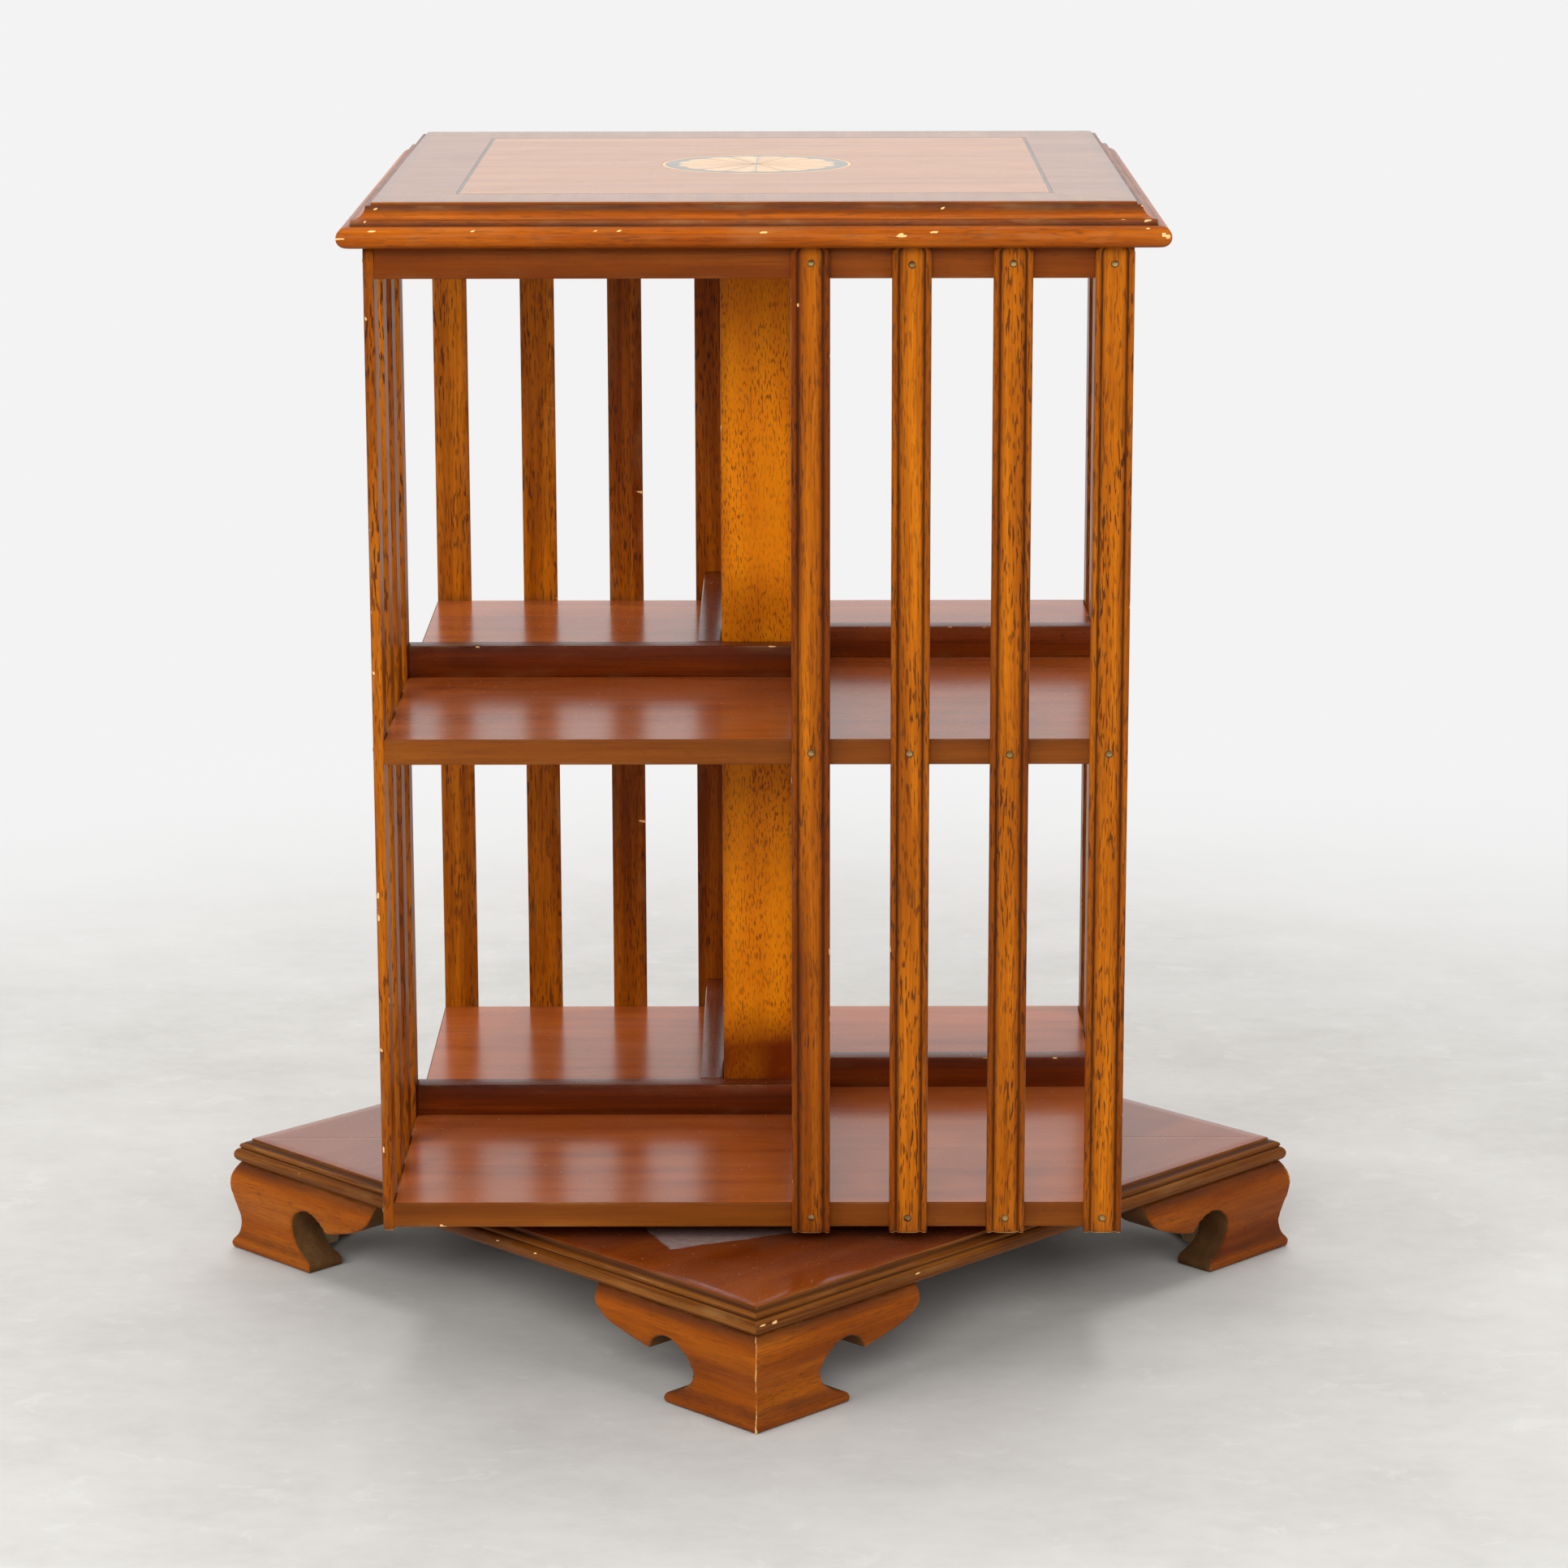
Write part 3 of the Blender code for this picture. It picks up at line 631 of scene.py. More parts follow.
def make_slat(side, k, n):
    (x0, _, z0), (x1, _, z1) = slat_boxes[n - 1]
    width, length = x1 - x0, z1 - z0
    seed = 100 + 10 * k + n
    section = slat_section(width)
    around = distances(section)
    chips = SLAT_CHIPS.get((side, n), 3.0)
    arrises = [(around[7], chips, 0.9), (around[39], chips, 0.9),   # the two edges of the face
               (around[0], 1.0, 0.6), (around[3], 1.0, 0.6)]        # and of the back
    along = np.concatenate([
        [0, 0.25], np.linspace(0.7, length - SHOULDER, 300),
        length - SHOULDER + SHOULDER * np.sin(np.linspace(0.12, 1, 10) * math.pi / 2)])
    depth, pale, edge = wear_field(along, around, arrises, seed, rub=0.07)
    rng = np.random.default_rng(seed)
    for _ in range(2):      # a few knocks
        knock = dent(along, around, rng.random() * length, around[rng.integers(len(around))],
                     0.8 + 1.6 * rng.random(), 0.5 + 0.7 * rng.random())
        depth = np.maximum(depth, 0.18 * np.sqrt(knock))
        pale = np.maximum(pale, smooth(0.1, 0.5, knock) * (rng.random() < 0.3))

    # the bottom end is eased and bare
    ease = np.zeros(len(along))
    ease[:2] = 0.55, 0.12
    pale[0] = 0.9
    pale[1] = np.maximum(pale[1], 0.45 + 0.4 * noise_along(around * 0.5, seed))
    shape = sunk(section, depth + ease[:, None])

    # rounded shoulders at the top end
    rise = along - (length - SHOULDER)
    narrow = SHOULDER - np.sqrt(np.maximum(SHOULDER * SHOULDER - rise * rise, 0))
    narrow = np.where(rise > 0, narrow, 0)
    half = width / 2
    x = x0 + half + (shape[..., 0] - half) * ((half - narrow) / half)[:, None]
    y = -(SHELF_HALF + shape[..., 1])
    z = np.broadcast_to((z0 + along)[:, None], x.shape)

    # painted shade in the grooves and on the back face where the boards meet it; darker at the foot
    outward = section[:, 1]
    margin = np.minimum(section[:, 0], width - section[:, 0])
    front = outward > 3
    dirt = np.select([(margin > 3.75) & (margin < 4.75) & front,
                      (margin > 4.7) & (margin < 5.6) & front], [0.9, 0.30], 0.0)[None, :]
    dirt = np.maximum(dirt, 0.55 * np.exp(-(along / 5.0))[:, None] * (outward > 2)[None, :])
    for board_z in (mid_high[2], mid_low[2], rail_low[2]):
        near = np.exp(-((z0 + along - board_z) / 3.5) ** 2)
        dirt = np.maximum(dirt, 0.35 * near[:, None] * (outward < 2)[None, :])

    # beads darker, centre lighter, on each slat's tint, which paints shade on the back slats
    tint = SLAT_TINTS_AND_SHADE.get((side, n))
    if tint is None:
        tint = rng.uniform(-0.30, 0.30)
    centre = np.where(front, 0.75 * smooth(4.8, 8.5, margin), 0)
    tint = tint + np.where((margin < 3.8) & (outward > 5.0), -0.40, centre)
    make_object(f"wood_slat_{side}_{n}", np.dstack([x, y, z]), capped_faces(*x.shape),
                [SLAT_WOOD], "slat_wood", boards=[(GRAIN_UP, board_offset(seed))], wear=pale,
                dirt=dirt, edge=edge, tint=np.broadcast_to(tint, x.shape),
                replaces=f"slat_{side}_{n}", turn=QUARTER * k, angle=50)


for k, side in enumerate(SIDES):
    for n in (1, 2, 3, 4):
        make_slat(side, k, n)


# ---------------------------------------------------------------- domed pins in the slats
# radius, height above the slat's face, darkness of the rim round the head
PIN_PROFILE = [
    (2.45, -0.35, 1.0), (2.45, 0.03, 1.0), (2.30, 0.07, 1.0), (2.02, 0.05, 1.0),
    (1.96, 0.14, 0.6), (1.86, 0.36, 0.0), (1.60, 0.66, 0.0), (1.18, 0.92, 0.0),
    (0.66, 1.09, 0.0), (0.2, 1.15, 0.0)]
PIN_POINTS = 24
PIN_HEIGHTS = [(low[2] + high[2]) / 2 for low, high in
               ((rail_low, rail_high), (mid_low, mid_high), (bottom_low, bottom_high))]


def pins(side, k):
    verts, faces, dirt = [], [], []
    rng = np.random.default_rng(40 + k)
    for low, high in slat_boxes:
        for pin_z in PIN_HEIGHTS:
            x = (low[0] + high[0]) / 2 + rng.uniform(-0.6, 0.6)
            z = pin_z + rng.uniform(-0.8, 0.8)
            tilt = rng.uniform(-0.05, 0.05, 2)
            faces += capped_faces(len(PIN_PROFILE), PIN_POINTS, base=len(verts))
            for radius, height, rim_darkness in PIN_PROFILE:
                dirt += [rim_darkness] * PIN_POINTS
                for q in range(PIN_POINTS):
                    angle = 2 * math.pi * q / PIN_POINTS
                    dx, dz = radius * math.cos(angle), radius * math.sin(angle)
                    y = -(SHELF_HALF + SLAT_THICK) - height - tilt[0] * dx - tilt[1] * dz
                    verts.append((x + dx, y, z + dz))
    make_object(f"slat_pins_{side}", verts, faces, [BRASS], "brass", dirt=dirt, turn=QUARTER * k)


for k, side in enumerate(SIDES):
    pins(side, k)


# ---------------------------------------------------------------- column, stops, rails
BORE_HALF = 18.0


def column(tier, z0, z1, seed, foot_darkening):
    """A hollow square length of the column."""
    half, length = column_half, z1 - z0
    section, corners = rounded_rect(-half, half, -half, half, radius=1.1, per_mm=0.2, arc=6)
    around = distances(section)
    along = np.concatenate([[0, 0.3], np.linspace(0.8, length - 0.8, 130),
                            [length - 0.3, length]])
    depth, pale, edge = wear_field(along, around, [(around[c], 3.0, 0.7) for c in corners],
                                   seed, rub=0.06)
    ease = np.zeros(len(along))
    ease[[0, -1]] = 0.5
    ease[[1, -2]] = 0.12
    z = np.broadcast_to((z0 + along)[:, None], depth.shape)
    outer = np.dstack([sunk(section, depth + ease[:, None]), z])
    bore = section * (BORE_HALF / half)
    inner = [np.column_stack([bore, np.full(len(bore), end)]) for end in (z1, z0)]
    verts = np.concatenate([outer, np.stack(inner)], 0)

    # darker low down and beside the arrises; painted shade under the board above
    wander = 0.8 + 0.5 * value_noise((along * 0.03)[:, None], (around * 0.05)[None, :], 0.0, seed)
    low = smooth(2.0, 12.0, along) * (1 - smooth(34.0, 80.0, along))
    high = 0.62 * smooth(length - 75.0, length - 6.0, along) ** 1.4
    dirt = np.maximum(foot_darkening * low[:, None] * wander, high[:, None] * wander)
    for corner in corners:
        beside = np.exp(-(np.abs(around - around[corner]) / 2.2)) * 0.55
        dirt = np.maximum(dirt, beside[None, :])
    bore_rows = ((0, 2), (0, 0))        # the two rings of the bore get no darkening
    make_object(f"wood_column_{tier}", verts, grid_faces(*verts.shape[:2], closed_n=True),
                [COLUMN_WOOD], "column_wood", boards=[(GRAIN_UP, board_offset(seed))],
                wear=np.pad(pale, bore_rows), edge=np.pad(edge, bore_rows),
                dirt=np.pad(np.clip(dirt, 0, 1), bore_rows), replaces=f"column_{tier}", tint=0.3)


column("upper", mid_high[2], top_low[2], seed=301, foot_darkening=0.45)
column("lower", bottom_high[2], mid_low[2], seed=302, foot_darkening=1.1)

for tier, (low, high), shelf_z, seed in (("upper", upper_stop, mid_high[2], 320),
                                         ("lower", lower_stop, bottom_high[2], 321)):
    for k, side in enumerate(SIDES):
        bar(f"wood_stop_{tier}_{side}", low[0] - 0.2, high[0], low[1], high[1], shelf_z, high[2],
            seed=seed + 10 * k, material=DARK_WOOD, radius=1.0, chips=(1, 22, 14, 1), size=0.8,
            tint=0.2 * (k - 1.5), replaces=f"book_stop_{tier}_{side}", turn=QUARTER * k)
for k, side in enumerate(SIDES):
    bar(f"wood_rail_{side}", rail_low[0], rail_high[0], rail_low[1], rail_high[1], rail_low[2],
        top_low[2], seed=360 + k, material=FRIEZE_WOOD, radius=0.6, chips=(2, 0, 0, 2), size=0.6,
        replaces=f"frieze_rail_{side}", turn=QUARTER * k)


# ---------------------------------------------------------------- boards made of rings
def rings_below(top, *stations, shape="square"):
    """Rings from (half width or radius, drop below top)."""
    return [(shape, size, top - drop) for size, drop in stations]


def unit_ring(shape, per_side):
    """4 * per_side points of a square or circle, starting at the -X -Y corner."""
    if shape == "square":
        corners = np.array([(-1, -1), (1, -1), (1, 1), (-1, 1)], float)
        part = np.arange(per_side)[:, None] / per_side
        return np.concatenate([a + (b - a) * part
                               for a, b in zip(corners, np.roll(corners, -1, 0))])
    angle = math.radians(225) + np.arange(4 * per_side) * (2 * math.pi / (4 * per_side))
    return np.stack([np.cos(angle), np.sin(angle)], -1)


def grain_axes(grain, side):
    """Board axes for grain along X everywhere, or along or across each side."""
    if grain == "x":
        return GRAIN_X
    cos, sin = math.cos(QUARTER * side), math.sin(QUARTER * side)
    rows = [[cos, sin, 0.0], [-sin, cos, 0.0]]
    if grain == "across":
        rows.reverse()
    return np.array(rows + [[0, 0, 1]], float)


def ring_board(name, rings, per_side, materials, zones, seed, slot, arrises=(), chip_rings=(),
               closed=True, mitre=0.0, dirt_and_shade_runs=(), **looks):
    """A board from rings (shape, size, z).

    zones: (material, grain) per band between rings. arrises: (ring, chip density, size).
    chip_rings: (ring, count, size). dirt_and_shade_runs: (first ring, amounts), painted shade and
    dirt.
    mitre: depth of the nick at the corners. An open board gets a cap at each end."""
    n, m = len(rings), 4 * per_side
    profile = np.array([ring[1:] for ring in rings], float)
    around = distances(profile)
    tangent = np.gradient(profile, axis=0)
    normals = np.stack([-tangent[:, 1], tangent[:, 0]], -1)
    normals /= np.maximum(np.linalg.norm(normals, axis=1, keepdims=True), 1e-9)
    size = profile[:, 0]
    if normals[int(np.argmax(size)), 0] < 0:
        normals = -normals
    side_length = 2 * size.max()
    along = np.arange(m) / per_side * side_length
    depth, pale, edge = wear_field(along, around, [(around[i], count, scale)
                                                   for i, count, scale in arrises], seed, rub=0.035)
    rng = np.random.default_rng(seed + 1)
    for ring, count, scale in chip_rings:
        busy = 0.25 + 0.50 * smooth(0.4, 0.7, noise_along(along * 0.012, seed + 77, 2))
        near = np.exp(-((around - around[ring]) / 3.5) ** 2)
        edge = np.maximum(edge, np.outer(busy, near))
        for number in range(count):
            if number % 3:
                centre = rng.random() * 4 * side_length
            else:           # every third chip falls close to a corner
                centre = (number // 3 % 4) * side_length + rng.normal() * 14
            chip = dent(along, around, centre, around[ring] + rng.normal() * 1.4,
                        scale * (1.2 + 2.4 * rng.random() ** 2),
                        scale * (0.4 + 0.6 * rng.random()))
            depth = np.maximum(depth, 0.22 * scale * np.sqrt(chip))
            pale = np.maximum(pale, smooth(0.05, 0.4, chip))

    # only square rings are worn
    at_mitre = np.zeros(m)
    at_mitre[::per_side] = 1
    verts = np.zeros((n, m, 3))
    for i, (shape, half, z) in enumerate(rings):
        cut = depth[:, i] + mitre * at_mitre if shape == "square" else np.zeros(m)
        verts[i, :, :2] = unit_ring(shape, per_side) * (half - normals[i, 0] * cut)[:, None]
        verts[i, :, 2] = z - normals[i, 1] * cut

    boards, numbers, face_board, face_mat = [], {}, [], []
    for material, grain in zones:
        for side in range(4):
            key = (grain, 0 if grain == "x" else side, material)
            if key not in numbers:
                numbers[key] = len(boards)
                boards.append((grain_axes(grain, side), board_offset(seed + 13 * len(boards))))
            face_board += [numbers[key]] * per_side
            face_mat += [material] * per_side
    if closed:
        faces = grid_faces(n, m, closed_n=True)
    else:
        faces = capped_faces(n, m)
        face_board += [0, 0]
        face_mat += [face_mat[0], face_mat[-1]]

    dirt = np.zeros((n, m))
    for start, amounts in dirt_and_shade_runs:
        for i, amount in enumerate(amounts, start):
            dirt[i] = amount * (0.75 + 0.5 * noise_along(along * 0.02, seed + 3))
    make_object(name, verts, faces, materials, slot, face_mat=face_mat, boards=boards,
                face_board=face_board, wear=pale.T, dirt=dirt, edge=edge.T, **looks)


# ---------------------------------------------------------------- shelves
def shelf(node, z0, z1, hole, seed):
    ease = 0.9
    # inset from the side and from the face, round an eased arris
    arris = [(ease, 0.0), (ease * 0.35, ease * 0.12), (ease * 0.1, ease * 0.4), (0.0, ease)]
    rings = rings_below(z1, (hole, 0), (hole + 20, 0), shape="circle")
    rings += rings_below(z1, (SHELF_HALF * 0.5, 0), (SHELF_HALF - 6, 0), (SHELF_HALF - 1.6, 0))
    rings += [("square", SHELF_HALF - inset, z1 - drop) for inset, drop in arris]
    rings += [("square", SHELF_HALF, z) for z in (z1 - 3, (z0 + z1) / 2, z0 + 3)]
    rings += [("square", SHELF_HALF - inset, z0 + rise) for inset, rise in reversed(arris)]
    rings += [("square", SHELF_HALF - 6, z0), ("circle", hole, z0)]
    zones = [(0, "x")] * 5 + [(1, "along")] * 10 + [(2, "x")] * 2 + [(0, "x")]
    ring_board(f"wood_{node}", rings, 200, [SHELF_WOOD, EDGE_WOOD, UNDER_WOOD], zones, seed,
               "shelf_wood", arrises=[(6, 3, 0.8), (13, 2, 0.8)], replaces=node)


shelf("mid_shelf", mid_low[2], mid_high[2], hole=14.0, seed=401)
shelf("bottom_shelf", bottom_low[2], bottom_high[2], hole=16.0, seed=402)


# ---------------------------------------------------------------- top board
def top_board():
    """Rounded nose, fillet and cove round a banded panel with a round recess."""
    top, under = top_high[2], top_low[2]
    nose_depth = 13.1                       # from the top face to the top of the nose
    nose_z = (top - nose_depth + under) / 2
    nose_half = (top - nose_depth - under) / 2
    rings = [("square", 115.5, under), ("square", 243.8, under)]
    rings += [("square", 244.0 + 7.0 * math.sin(angle), nose_z - nose_half * math.cos(angle))
              for angle in np.linspace(0.10, math.pi - 0.10, 17)]
    nose = len(rings) - 9
    rings += rings_below(top, (243.6, 13.2), (243.0, 13.0), (242.8, 12.3), (242.8, 10.0),
                         (242.5, 9.65))
    fillet = len(rings) - 2
    rings += [("square", 234.2 + 8.2 * (1 - math.cos(angle)), top - 1.7 - 7.9 * math.sin(angle))
              for angle in np.linspace(math.pi / 2 - 0.05, 0.06, 9)]
    cove = len(rings) - 1
    rings += rings_below(top, (234.0, 1.62), (231.5, 1.62), (231.1, 1.35), (231.0, 0.35),
                         (230.8, 0.08), (230.4, 0))
    arris = len(rings) - 2
    rings += rings_below(top, (222.0, 0), (200.0, 0), (183.0, 0), (182.9, 0.5), (181.1, 0.5),
                         (181.0, 0))
    panel = len(rings) - 1
    rings += rings_below(top, (150.0, 0), (110.0, 0))
    rings += rings_below(top, (75.0, 0), (61.75, 0), (61.7, 0.9), (20.0, 0.9), shape="circle")
    zones = ([(0, "along")] * arris + [(1, "across")] * (panel - 1 - arris)
             + [(2, "x")] * (len(rings) - panel))
    # painted shade under the nose, in the step above it, in the cove and in the step under the top
    # arris; darker along the top arris itself
    ring_board("wood_top_board", rings, 210, [NOSE_WOOD, BAND_WOOD, TOP_WOOD], zones, 501,
               "top_wood", arrises=[(arris, 2, 0.6), (fillet, 4, 0.7), (cove, 3, 0.6)],
               chip_rings=[(nose, 40, 1.35), (nose + 4, 18, 1.0), (fillet, 22, 0.8),
                           (cove, 10, 0.8)],
               closed=False, mitre=0.10, replaces="top_board", angle=60,
               dirt_and_shade_runs=[(1, (0.6, 0.55, 0.5, 0.4, 0.25)),
                          (fillet - 4, (0.55, 1.0, 1.0, 0.8, 0.25, 0.95, 0.8, 0.35)),
                          (cove - 3, (0.25, 0.5, 0.75, 0.9)),
                          (arris - 4, (0.75, 0.9, 0.6)), (arris, (0.7, 0.45))])


def stringing():
    """The thin dark square line between band and panel."""
    line = 182.0
    rings = rings_below(top_high[2], (line + 0.85, 0.45), (line + 0.85, 0.06), (line + 0.6, 0),
                        (line, -0.01), (line - 0.6, 0), (line - 0.85, 0.06), (line - 0.85, 0.45))
    ring_board("wood_stringing", rings, 60, [STRING_WOOD], [(0, "along")] * 7, 502,
               "dark_stringing", replaces="inlay_stringing")


# ---------------------------------------------------------------- inlaid rosette
def rosette_ground():
    """Dark disc under and around the petals."""
    rings = rings_below(top_high[2], (58.9, 0.85), (58.9, 0.05), (58.6, 0), (54.0, 0),
                        (50.0, 0.02), (30.0, 0.06), (8.0, 0.06), shape="circle")
    ring_board("inlay_ground", rings, 90, [EBONY], [(0, "x")] * 6, 511, "dark_stringing",
               closed=False)


def rosette_ring():
    """Pale outer line."""
    rings = rings_below(top_high[2], (61.5, 0.85), (61.5, 0.05), (61.2, -0.02), (59.4, -0.02),
                        (59.1, 0.05), (59.1, 0.85), shape="circle")
    ring_board("inlay_ring", rings, 90, [CREAM], [(0, "along")] * 6, 512, "light_inlay")


def petals():
    """Pieces of a fan with scalloped ends, shaded along one side."""
    top = top_high[2]
    count, rows, columns = 16, 26, 13
    half_angle = math.pi / count
    inner, outer, scallop, gap = 3.2, 51.2, 3.6, 0.22
    layer = rows * columns
    outline = [*range(columns), *(i * columns + columns - 1 for i in range(1, rows)),
               *((rows - 1) * columns + j for j in range(columns - 2, -1, -1)),
               *(i * columns for i in range(rows - 2, 0, -1))]
    verts, faces, dirt, boards, face_board = [], [], [], [], []
    for petal in range(count):
        base = len(verts)
        middle = 2 * math.pi * (petal + 0.5) / count
        for upper in (True, False):
            for i in range(rows):
                out = i / (rows - 1)
                for j in range(columns):
                    across = -1 + 2 * j / (columns - 1)
                    tip = outer - scallop * abs(across) ** 2.6
                    radius = inner + (tip - inner) * out
                    angle = middle + across * (half_angle - gap / radius)
                    rim = min(1 - abs(across), (1 - out) * 5, out * 9 + 0.2)
                    z = top + 0.05 * min(1.0, rim * 4) + 0.02 if upper else top - 0.5
                    verts.append((radius * math.cos(angle), radius * math.sin(angle), z))
                    dirt.append(max(0.0, 0.55 * smooth(0.35, 1.0, across)
                                    + 0.25 * smooth(0.75, 0.0, out)))
        piece = [*grid_faces(rows, columns, closed_m=False, base=base),
                 *grid_faces(rows, columns, closed_m=False, base=base + layer, flip=True)]
        for a, b in zip(outline, outline[1:] + outline[:1]):
            piece.append([base + b, base + a, base + a + layer, base + b + layer])
        faces += piece
        cos, sin = math.cos(middle), math.sin(middle)
        boards.append((np.array([[cos, sin, 0], [-sin, cos, 0], [0, 0, 1]], float),
                       board_offset(700 + petal)))
        face_board += [petal] * len(piece)
    make_object("inlay_petals", verts, faces, [CREAM], "light_inlay", boards=boards,
                face_board=face_board, dirt=dirt, replaces="inlay_patera", angle=40)


top_board()
stringing()
rosette_ground()
rosette_ring()
petals()


# ---------------------------------------------------------------- plinth board
def plinth():
    """Square board with a bead, a groove and an ovolo, and a round hole."""
    top, under, half = base_high[2], base_low[2], PLINTH_HALF
    hole = 10.6
    rings = [("circle", hole, under), ("square", half * 0.5, under),
             ("square", half + 5.2, under), ("square", half + 5.5, under + 0.3)]
    rings += [("square", half + 5.4 + 3.6 * math.cos(angle), top - 11.4 + 4.7 * math.sin(angle))
              for angle in np.radians(np.linspace(-60, 84, 13))]
    bead = len(rings) - 6
    rings += rings_below(top, (half + 5.3, 6.5), (half + 5.3, 6.2))
    groove = len(rings) - 1
    rings += [("square", half + 3.7 + 2.4 * math.cos(angle), top - 5.2 + 2.1 * math.sin(angle))
              for angle in np.radians(np.linspace(-25, 88, 8))]
    ovolo = len(rings) - 4
    rings += rings_below(top, (half + 3.5, 2.75), (half + 0.35, 2.7), (half + 0.05, 2.4),
                         (half, 0.5), (half - 0.12, 0.12), (half - 0.5, 0))
    arris = len(rings) - 2
    rings += rings_below(top, (half - 8, 0), (half * 0.6, 0), (half * 0.3, 0))
    rings += [("circle", hole, top)]
    zones = ([(2, "x")] * 2 + [(1, "along")] * (arris - 2) + [(0, "x")] * (len(rings) - arris))
    # painted shade on the underside of the bead, in the groove above it and in the step under the
    # top arris
    ring_board("wood_plinth", rings, 210, [BASE_WOOD, MOULD_WOOD, INSIDE_WOOD], zones, 601,
               "base_wood", arrises=[(arris, 3, 0.7), (bead, 3, 0.8), (ovolo, 5, 0.8)],
               chip_rings=[(bead, 6, 1.0)], mitre=0.14,
               dirt_and_shade_runs=[(3, (0.5, 0.4)), (groove - 2, (0.5, 0.95, 0.95)),
                          (arris - 4, (0.85, 0.9, 0.5))],
               turn=math.radians(45), body="base", replaces="base_board", angle=60)


plinth()


# ---------------------------------------------------------------- ogee bracket feet
# height, how far the face stands out beyond the plinth's flat top
OGEE = [(0.0, 10.2), (1.0, 10.8), (3.0, 11.2), (5.0, 10.9), (6.6, 9.9), (8.4, 8.4), (11.0, 7.2),
        (14.5, 6.4), (19.0, 6.2), (24.0, 6.8), (30.0, 8.3), (36.0, 9.9), (41.0, 10.9),
        (45.5, 11.3), (50.0, 10.9), (54.0, 9.7), (57.5, 7.9), (61.0, 5.6)]
# Cut-out edge of a bracket, in two smooth runs that meet in a sharp point:
# distance back from OUTLINE_ORIGIN, height
TOE = [(78.6, 0.0), (79.6, 2.2), (79.2, 4.8), (77.0, 6.9), (71.5, 8.8), (65.0, 12.0),
       (59.8, 17.0), (57.8, 23.0), (58.8, 29.5), (62.4, 35.6), (68.0, 40.4), (74.6, 43.0),
       (81.2, 43.1), (87.4, 40.5), (92.0, 36.4), (95.0, 31.2)]
WING = [(95.0, 31.2), (103.0, 32.8), (113.0, 35.5), (124.0, 38.9), (133.5, 43.0),
        (140.4, 48.0), (143.8, 53.5), (144.6, 60.7)]
OUTLINE_ORIGIN = 253.0
FOOT_TOP = 60.7
FOOT_CORNER = 240.0         # mitre end of the flat outline, before it is stretched to the mitre
STRETCH_FROM = 205.0
FOOT_BACK = 226.5           # distance of the back face from the axis


def foot_face(z):
    """Distance of a foot's face from the axis at each height, as a smooth ogee."""
    heights, projections = zip(*OGEE)
    fine = np.arange(-3, 64.01, 0.25)
    kernel = np.exp(-np.linspace(-2.2, 2.2, 19) ** 2)
    curve = np.pad(np.interp(fine, heights, projections), 9, mode="edge")
    curve = np.convolve(curve, kernel / kernel.sum(), mode="valid")
    return PLINTH_HALF + np.interp(z, fine, curve)


def catmull(points, steps):
    """A smooth curve through the points."""
    curve = []
    last = len(points) - 1
    for i in range(last):
        p0, p1, p2, p3 = (points[min(max(i + k, 0), last)] for k in (-1, 0, 1, 2))
        for k in range(steps):
            t = k / steps
            curve.append(tuple(
                0.5 * (2 * p1[q] + (p2[q] - p0[q]) * t
                       + (2 * p0[q] - 5 * p1[q] + 4 * p2[q] - p3[q]) * t * t
                       + (3 * p1[q] - p0[q] - 3 * p2[q] + p3[q]) * t ** 3) for q in (0, 1)))
    curve.append(points[-1])
    return curve


def bracket_sheet():
    """Flat bracket outline cut into cells: points (x, z), cells and the clockwise rim."""
    outline = catmull(TOE, 3) + catmull(WING, 4)[1:]
    points = [(OUTLINE_ORIGIN - back, z) for back, z in outline]
    points += [(FOOT_CORNER, FOOT_TOP), (FOOT_CORNER, 0.0)]
    bm = bmesh.new()
    bm.faces.new([bm.verts.new((x, 0, z)) for x, z in points])
    cuts = [((0, 0, z), (0, 0, 1)) for z in np.arange(1.2, 60.5, 1.55)]
    cuts += [((x, 0, 0), (1, 0, 0)) for x in [*np.arange(110.0, 238.0, 3.4), 238.6]]
    for place, normal in cuts:
        bmesh.ops.bisect_plane(bm, geom=bm.verts[:] + bm.edges[:] + bm.faces[:], dist=1e-4,
                               plane_co=place, plane_no=normal)
    bmesh.ops.remove_doubles(bm, verts=bm.verts, dist=0.02)
    bm.verts.ensure_lookup_table()
    flat = np.array([(v.co.x, v.co.z) for v in bm.verts])
    cells = [[v.index for v in face.verts] for face in bm.faces]
    follow = {loop.vert.index: loop.link_loop_next.vert.index
              for face in bm.faces for loop in face.loops if loop.edge.is_boundary}
    bm.free()
    start = next(iter(follow))
    rim = [start]
    while follow[rim[-1]] != start:
        rim.append(follow[rim[-1]])
    return flat, cells, rim


def stretch(x, target):
    """Draw the mitre end of the sheet out or in to the target."""
    part = np.clip((x - STRETCH_FROM) / (FOOT_CORNER - STRETCH_FROM), 0, 1)
    return np.where(x > STRETCH_FROM, STRETCH_FROM + part * (target - STRETCH_FROM), x)


